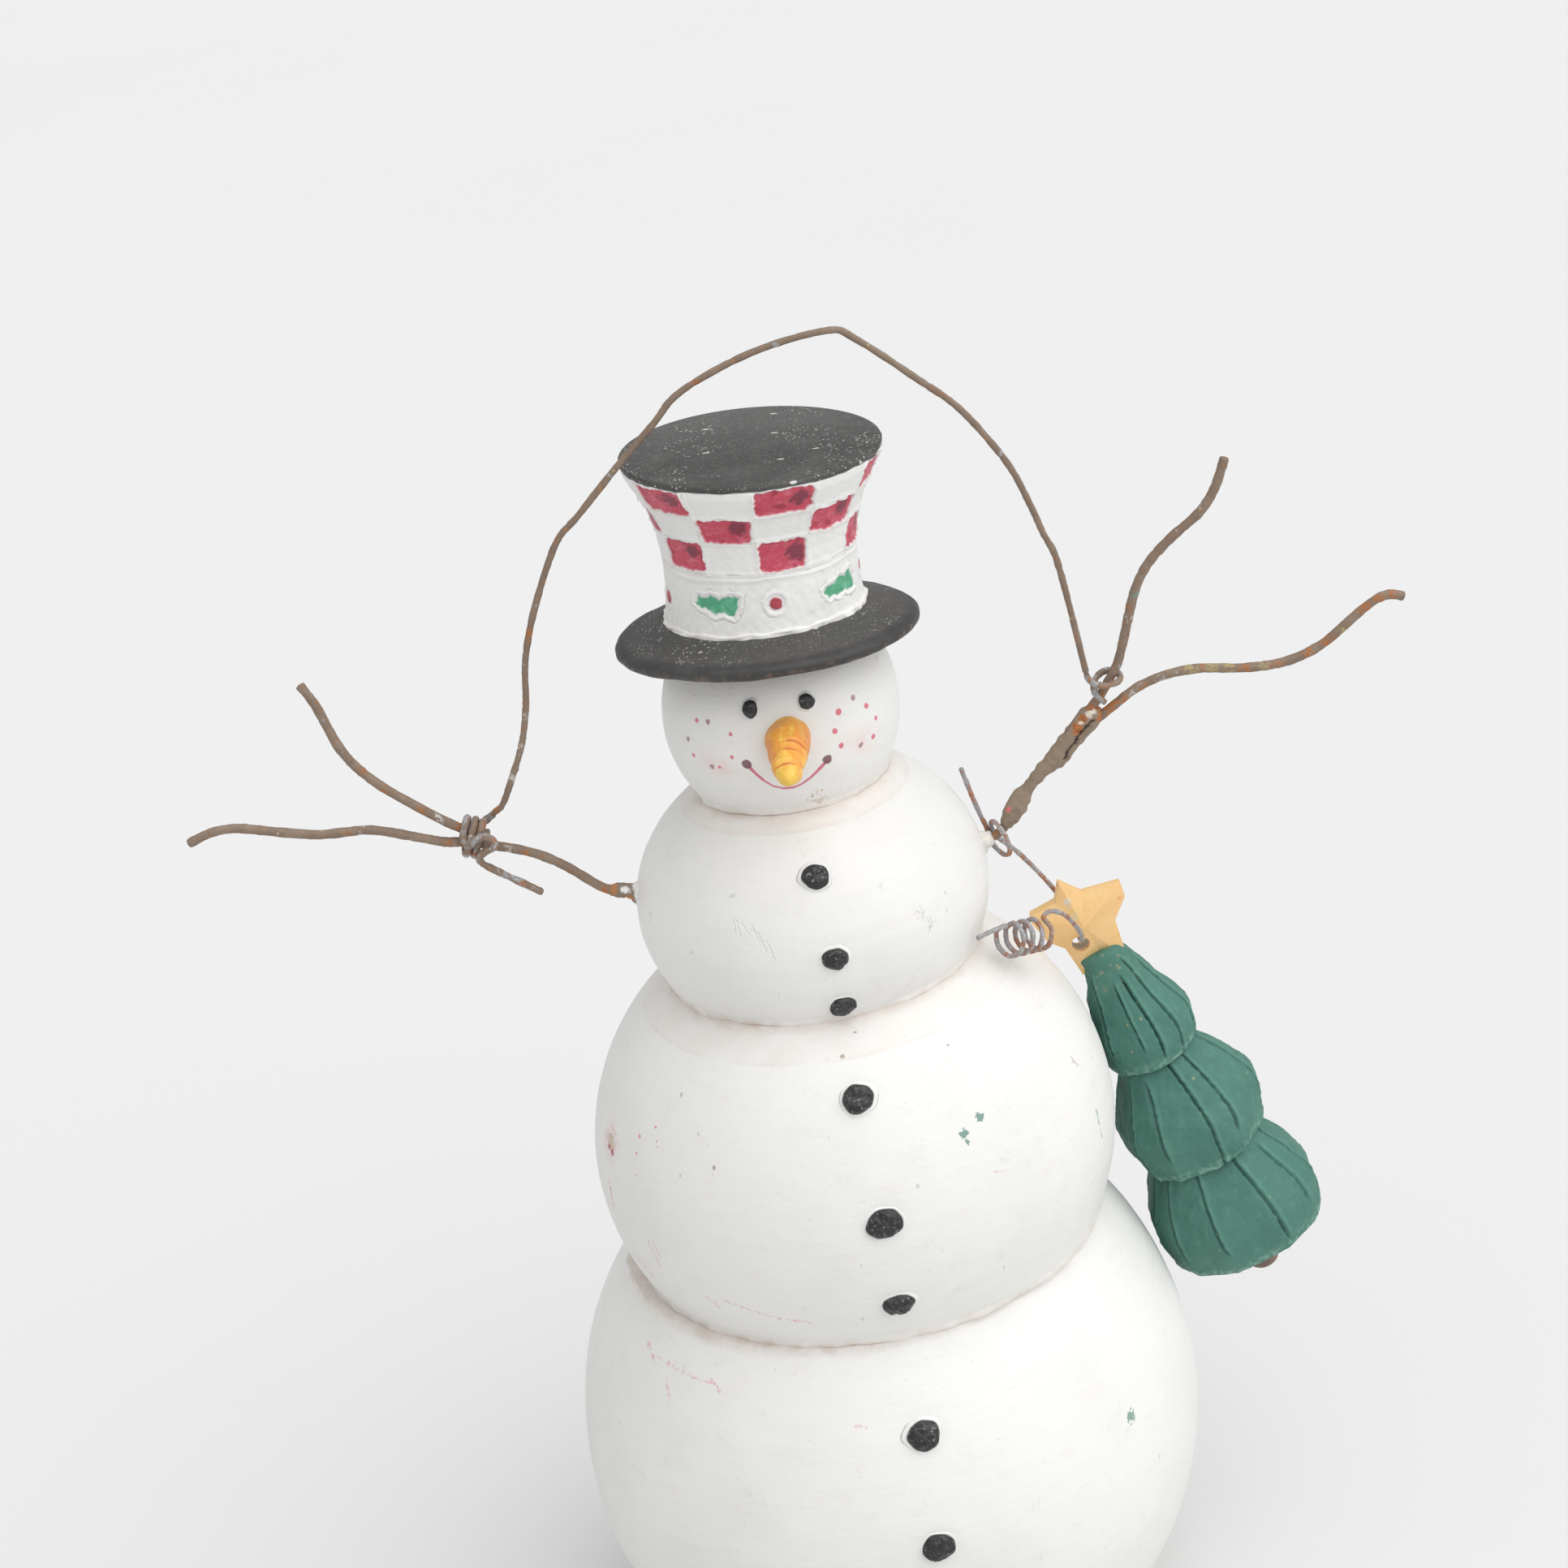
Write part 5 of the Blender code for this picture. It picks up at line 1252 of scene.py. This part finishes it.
def star(finish):
    """The CAD star with a prouder front and eased edges."""
    shape = bmesh.new()
    shape.from_mesh(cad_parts["star"].data)
    bmesh.ops.remove_doubles(shape, verts=shape.verts, dist=2e-6)
    bmesh.ops.dissolve_limit(
        shape, angle_limit=math.radians(1.0), verts=shape.verts, edges=shape.edges
    )
    for corner in shape.verts:
        proud = (STAR_MIDDLE - STAR_EDGE) - corner.co.y / MM
        if proud > 0:
            corner.co.y -= proud * 0.9 * MM
    mesh = bpy.data.meshes.new("star_skin")
    shape.to_mesh(mesh)
    shape.free()
    mesh.materials.append(finish)
    made = bpy.data.objects.new("star_skin", mesh)
    bpy.context.scene.collection.objects.link(made)
    bevel = made.modifiers.new("eased_edges", "BEVEL")
    bevel.width = 0.75 * MM
    bevel.segments = 3
    bevel.limit_method = "ANGLE"
    bevel.angle_limit = math.radians(14)
    mesh.shade_smooth()
    mesh.set_sharp_from_angle(angle=math.radians(40))
    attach(made, "tree")
    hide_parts("star")


def tree_finish():
    paint = Finish("tree_paint", (0.058, 0.182, 0.142), 0.62)
    paint.over(paint.cloud(0.42, 0.7, 8, detail=5), (0.076, 0.214, 0.168), 0.8)
    paint.over(paint.cloud(0.52, 0.72, 1.8, (1, 1, 0.5), 5, 4.0), (0.095, 0.265, 0.200), 0.5)
    # Painted shade: the grooves are darkened.
    paint.over(paint.mark("groove"), (0.018, 0.075, 0.060), 0.85)
    # Painted highlight: lighter beside one side of each groove.
    paint.over(paint.mark("painted_flank_highlight"), (0.13, 0.33, 0.26), 0.35)
    hem = paint.both(paint.mark("hem"), paint.cloud(0.42, 0.62, 1.5, detail=5, shift=8.0))
    paint.over(hem, (0.30, 0.48, 0.41), 0.55)
    chips = paint.both(paint.mark("hem"), paint.specks(2.0, 0.34, 0.3, shift=6.0))
    paint.over(chips, (0.62, 0.70, 0.66), 0.75)
    paint.over(paint.mark("shade"), (0.020, 0.085, 0.075), 0.6)
    paint.over(paint.specks(3.0, 0.32, 0.20, (1, 1, 0.6), 9.0), (0.42, 0.40, 0.20), 0.6)
    paint.over(paint.specks(4.2, 0.34, 0.16, (1, 1, 0.5), 27.0), (0.56, 0.68, 0.62), 0.6)
    flakes = paint.cloud(0.60, 0.66, 1.2, detail=4, shift=3.0)
    paint.over(paint.both(paint.mark("crown"), flakes), (0.36, 0.32, 0.17), 0.6)
    paint.raised(paint.noise(1.4, (1, 1, 0.7), 5), 0.18)
    return paint.done()


TREE_TOP = Vector((56.6, 12.0, 144.0))
TREE_LEAN = math.radians(18.6)
TREE_DOWN = np.array((math.sin(TREE_LEAN), 0, -math.cos(TREE_LEAN)))
TREE_ACROSS = np.array((math.cos(TREE_LEAN), 0, math.sin(TREE_LEAN)))
TREE_DEPTH = 0.95  # its depth as a share of its width
# Each tier: (distance below the top, radius, offset across) from its upper to its lower edge.
TIERS = (
    ((-2.6, 3.5, 0.0), (-1.8, 4.4, 0.1), (0.5, 5.0, 0.7), (4.3, 6.2, 1.0), (8.9, 7.8, 1.1), (13.0, 9.4, 1.3),
     (16.2, 10.5, 1.4), (18.6, 10.8, 1.3), (21.6, 10.5, 1.0), (23.8, 10.0, 0.8), (24.5, 9.7, 0.7)),
    ((19.0, 5.6, 0.6), (22.0, 6.8, 0.7), (24.7, 8.5, 0.8), (27.6, 10.1, 1.1), (31.4, 12.3, 1.3),
     (35.2, 14.5, 1.3), (37.8, 15.7, 1.3), (40.0, 16.1, 1.2), (43.4, 15.8, 0.9), (46.6, 15.1, 0.7),
     (49.2, 14.3, 0.5), (50.0, 14.0, 0.4)),
    ((44.0, 9.6, 0.2), (47.6, 10.8, 0.2), (50.1, 12.1, 0.2), (52.6, 13.5, 0.1), (56.0, 15.4, 0.1),
     (60.4, 17.5, 0.2), (63.4, 18.5, 0.3), (66.0, 18.8, 0.3), (69.4, 18.4, 0.4), (72.2, 17.8, 0.3),
     (73.6, 17.3, 0.2), (74.2, 17.0, 0.2)),
)


def tier(number, outline, finish):
    """A bell of boughs with grooves that fan down it, and a hollow underside."""
    points, rows = 420, 130
    dice = np.random.default_rng(70 + number)
    curve = smooth_line(outline, 24)
    pick = np.linspace(0, len(curve) - 1, rows)
    level, radius, offset = (np.interp(pick, np.arange(len(curve)), curve[:, i])[:, None] for i in range(3))
    turn = math.tau * np.arange(points)[None, :] / points
    share = (level - level[0]) / (level[-1] - level[0])
    round_place = np.stack([radius * np.cos(turn), radius * np.sin(turn), level + 0 * turn], -1)
    cut, groove, painted_flank_highlight = (np.zeros(round_place.shape[:2]) for _ in range(3))
    count = (12, 11, 12)[number]
    middles = math.tau * (np.arange(count) + 0.5 + dice.uniform(-0.28, 0.28, count)) / count
    for middle in middles:
        start = dice.uniform(0.04, 0.24)
        end = dice.choice([0.82, 0.93, 1.06])
        depth = dice.uniform(0.7, 1.25)
        wide = dice.uniform(0.20, 0.34)
        drift = dice.uniform(-0.06, 0.06)
        bend = middle + drift * (share - 0.5) + 0.008 * np.sin(9 * share + 7 * middle)
        off = np.angle(np.exp(1j * (turn - bend))) * radius
        runs = blend_in(share, start, start + 0.14) * (1 - blend_in(share, end - 0.08, end + 0.03))
        ragged = (0.6 + 0.4 * runs) * (1 + 0.35 * ripple(round_place, 1.6, 80 + number))
        notch = np.exp(-np.abs(off / (wide * ragged)) ** 1.4) * runs
        cut = cut + depth * notch
        groove = np.maximum(groove, notch)
        # Beside one side of each groove: a slight ridge and a painted highlight.
        side = hump(off - 2.6 * wide, 1.6 * wide) * runs
        painted_flank_highlight = np.maximum(painted_flank_highlight, side)
        cut = cut - 0.16 * side
    edges = np.concatenate([middles[-1:] - math.tau, middles, middles[:1] + math.tau])
    panel = np.searchsorted(edges, turn[0]) - 1
    low_edge, high_edge = edges[panel], edges[panel + 1]
    half = (high_edge - low_edge) / 2
    to_middle = turn[0] - (low_edge + high_edge) / 2
    facet = np.cos(half) / np.cos(to_middle) - 1
    lower = blend_in(share, 0.7, 1.0)
    scallop = 0.15 - 0.75 * np.abs(to_middle / half) ** 3 * np.sin(3 * panel + 1) ** 2
    uneven = 0.20 * ripple(round_place, 9, 75 + number) + 0.07 * ripple(round_place, 2.4, 77 + number)
    reach = radius * (1 + facet * blend_in(share, 0.05, 0.3)) - cut + uneven + 0.2
    level = level + (scallop - 0.3 * groove) * lower * (share < 0.999)
    rows_in = np.array([0.985, 0.90, 0.70, 0.40, 0.1])[:, None]
    under_level = level[-1] + np.array([0.1, -0.1, -0.5, -1.0, -1.2])[:, None]
    all_reach = np.concatenate([reach, reach[-1] * rows_in])
    all_level = np.concatenate([level + 0 * turn, under_level])
    all_offset = np.concatenate([offset, offset[-1] + 0 * rows_in])
    rings = np.array(TREE_TOP) + all_level[..., None] * TREE_DOWN
    rings = rings + (all_reach * np.cos(turn) + all_offset)[..., None] * TREE_ACROSS
    rings = rings + (TREE_DEPTH * all_reach * np.sin(turn))[..., None] * np.array((0, 1, 0))
    facing = blend_in(-np.cos(turn) + 0.25 * ripple(round_place, 12, 95), 0.62, 1.0)
    above = (1 - blend_in(share, 0.08, 0.34)) * (0.7 if number else 0.0)
    # Painted light: the grooves darkened, a highlight beside each groove, and shade on the left side, just
    # under the tier above and on the underside.
    marks = {
        "groove": groove,
        "painted_flank_highlight": painted_flank_highlight,
        "hem": blend_in(share, 0.90, 0.985),
        "shade": np.maximum(0.5 * facing, above),
        "crown": (1 - blend_in(share, 0.12, 0.45)) * (number == 0),
    }
    for key, outside_it in marks.items():
        underneath = np.full(under_level.shape, 0.9 if key == "shade" else 0.0)
        marks[key] = np.concatenate([outside_it + 0 * turn, underneath])
    made = shell(f"tree_tier_{number + 1}", rings, finish, marks)
    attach(made, "tree")
    return made


def trunk_finish():
    paint = Finish("trunk_paint", (0.205, 0.140, 0.110), 0.7)
    paint.over(paint.cloud(0.45, 0.68, 2.2, (1, 1, 0.3), 5), (0.28, 0.20, 0.16), 0.7)
    paint.over(paint.specks(1.8, 0.3, 0.25), (0.50, 0.44, 0.36), 0.5)
    paint.raised(paint.noise(1.0, (1, 1, 0.4), 5), 0.2)
    return paint.done()


def trunk(finish):
    steps = np.concatenate([np.linspace(70, 83.6, 40), [84.0, 84.3, 84.45]])
    line = np.array(TREE_TOP) + steps[:, None] * TREE_DOWN
    radii = np.array([3.22] * 40 + [3.05, 2.7, 2.0])
    rings = tube_rings(line, radii, 48)
    push = 0.10 * ripple(rings * (1, 1, 0.3), 2.6, 97) - 0.06
    rings = rings + outward_of(rings) * push[..., None] * (steps < 84.2)[:, None, None]
    made = shell("tree_trunk_skin", rings, finish, angle=50)
    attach(made, "tree")
    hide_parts("tree_trunk")


# Hidden timber --------------------------------------------------------------------------------------


def timber_finish():
    paint = Finish("beech_timber", (0.58, 0.42, 0.26), 0.6)
    grain = paint.noise(1.6, (1, 1, 0.08), 5)
    paint.over(paint.spread(grain, 0.4, 0.65), (0.42, 0.28, 0.16), 0.7)
    paint.over(paint.specks(1.0, 0.16, 0.4, (1, 1, 0.2)), (0.30, 0.19, 0.11), 0.6)
    paint.raised(grain, 0.12)
    return paint.done()


# Studio -------------------------------------------------------------------------------------------


FLOOR_RADIUS = 9.0
FLOOR_GAP = 0.0005  # below the foot
SKY_STRENGTH = 0.52
# Name, way towards the light, width in degrees and strength.
LIGHTS = (
    ("key_light", (0.60, -0.35, 0.72), 75, 1.65),
    ("top_light", (-0.05, -0.25, 0.97), 80, 0.80),
)
LENS = 71.03
SENSOR = 36
CAMERA_PLACE = (-0.0025, -0.5633, 0.4395)
CAMERA_TURN = (0.045, 23.0, -10.06)  # yaw, pitch down and roll in degrees


def studio():
    """Pale floor and soft light from all round, with the strongest from the front right, high up."""
    floor_mesh = bpy.data.meshes.new("studio_floor")
    shape = bmesh.new()
    bmesh.ops.create_circle(shape, cap_ends=True, segments=96, radius=FLOOR_RADIUS)
    shape.to_mesh(floor_mesh)
    shape.free()
    pale = Finish("studio_floor_paint", (0.765, 0.765, 0.765), 0.9)
    pale.over(pale.cloud(0.3, 0.7, 900.0), (0.75, 0.75, 0.75), 0.6)
    floor_mesh.materials.append(pale.done())
    floor = bpy.data.objects.new("studio_floor", floor_mesh)
    floor.location.z = -FLOOR_GAP
    bpy.context.scene.collection.objects.link(floor)

    world = bpy.data.worlds.new("studio_world")
    world.use_nodes = True
    sky = world.node_tree.nodes["Background"]
    sky.inputs["Color"].default_value = (1.0, 1.0, 1.0, 1.0)
    sky.inputs["Strength"].default_value = SKY_STRENGTH
    bpy.context.scene.world = world

    for name, way, spread, strength in LIGHTS:
        light = bpy.data.lights.new(name, "SUN")
        light.energy = strength
        light.angle = math.radians(spread)
        lamp = bpy.data.objects.new(name, light)
        lamp.rotation_mode = "QUATERNION"
        lamp.rotation_quaternion = Vector(way).to_track_quat("Z", "Y")
        bpy.context.scene.collection.objects.link(lamp)


def camera():
    """Looks down on the figure, rolled so that it leans to one side of the frame."""
    data = bpy.data.cameras.new("view_camera")
    data.lens = LENS
    data.sensor_width = SENSOR
    data.clip_start = 0.01
    data.clip_end = 50
    made = bpy.data.objects.new("view_camera", data)
    bpy.context.scene.collection.objects.link(made)
    yaw, pitch, roll = (math.radians(angle) for angle in CAMERA_TURN)
    forward = Vector((math.sin(yaw) * math.cos(pitch), math.cos(yaw) * math.cos(pitch), -math.sin(pitch)))
    right = Vector((math.cos(yaw), -math.sin(yaw), 0))
    up = right.cross(forward)
    rolled_right = right * math.cos(roll) + up * math.sin(roll)
    rolled_up = up * math.cos(roll) - right * math.sin(roll)
    turn = Matrix((rolled_right, rolled_up, -forward)).transposed().to_4x4()
    made.matrix_world = Matrix.Translation(CAMERA_PLACE) @ turn
    bpy.context.scene.camera = made


# Build --------------------------------------------------------------------------------------------

# Name, ball, azimuth, height above the ball's centre, width, height and dent (x, y, radius, depth).
NUGGETS = (
    ("left_eye", HEAD, -15.5, 8.6, 3.1, 3.5, None),
    ("right_eye", HEAD, 12.5, 8.3, 3.2, 3.1, None),
    ("coal_button_1", CHEST, 1.4, 16.0, 5.5, 4.9, (0.3, -0.4, 0.7, 0.35)),
    ("coal_button_2", CHEST, 2.7, 1.0, 5.1, 4.6, (-0.9, 0.3, 0.4, 0.22)),
    ("coal_button_3", CHEST, 2.8, -10.2, 5.5, 4.7, None),
    ("coal_button_4", BELLY, 1.7, 29.4, 6.3, 5.8, (-0.8, 0.6, 0.6, 0.28)),
    ("coal_button_5", BELLY, 2.3, 7.2, 7.2, 6.2, (0.6, 0.4, 0.5, 0.2)),
    ("coal_button_6", BELLY, 2.4, -11.6, 6.3, 5.1, (-0.6, 0.2, 0.6, 0.25)),
    ("coal_button_7", BASE, 4.9, 29.5, 6.8, 6.0, (0.6, -0.2, 0.6, 0.25)),
    ("coal_button_8", BASE, 3.6, 7.7, 7.0, 5.6, None),
    ("coal_button_9", BASE, 3.6, -12.5, 7.0, 6.0, (0.2, 0.5, 0.6, 0.25)),
)


def build():
    face, chest = head_finish(), chest_finish()
    belly, base = belly_finish(), base_finish()
    ball("base_ball", BASE, base)
    ball("belly_ball", BELLY, belly, chips=((np.array(at(BELLY, *CHIP)), 1.3, 0.3),))
    ball("chest_ball", CHEST, chest)
    ball("head_ball", HEAD, face)
    coal = coal_finish()
    paints = {BASE: base, BELLY: belly, CHEST: chest, HEAD: face}
    for seed, (name, sizes, azimuth, height, wide, tall, crater) in enumerate(NUGGETS):
        nugget(name, sizes, azimuth, height, wide, tall, 5 + seed, paints[sizes], coal, crater)
    crown(crown_finish())
    brim(brim_finish())
    nose(nose_finish())
    arms()
    star(star_finish())
    boughs = tree_finish()
    tiers = [tier(number, outline, boughs) for number, outline in enumerate(TIERS)]
    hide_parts("tree_boughs")
    trunk(trunk_finish())
    timber = timber_finish()
    for name in ("base_dowel", "chest_dowel", "head_dowel"):
        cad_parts[name].data.materials.clear()
        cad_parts[name].data.materials.append(timber)


build()
studio()
camera()
bpy.context.scene.view_settings.view_transform = "Standard"
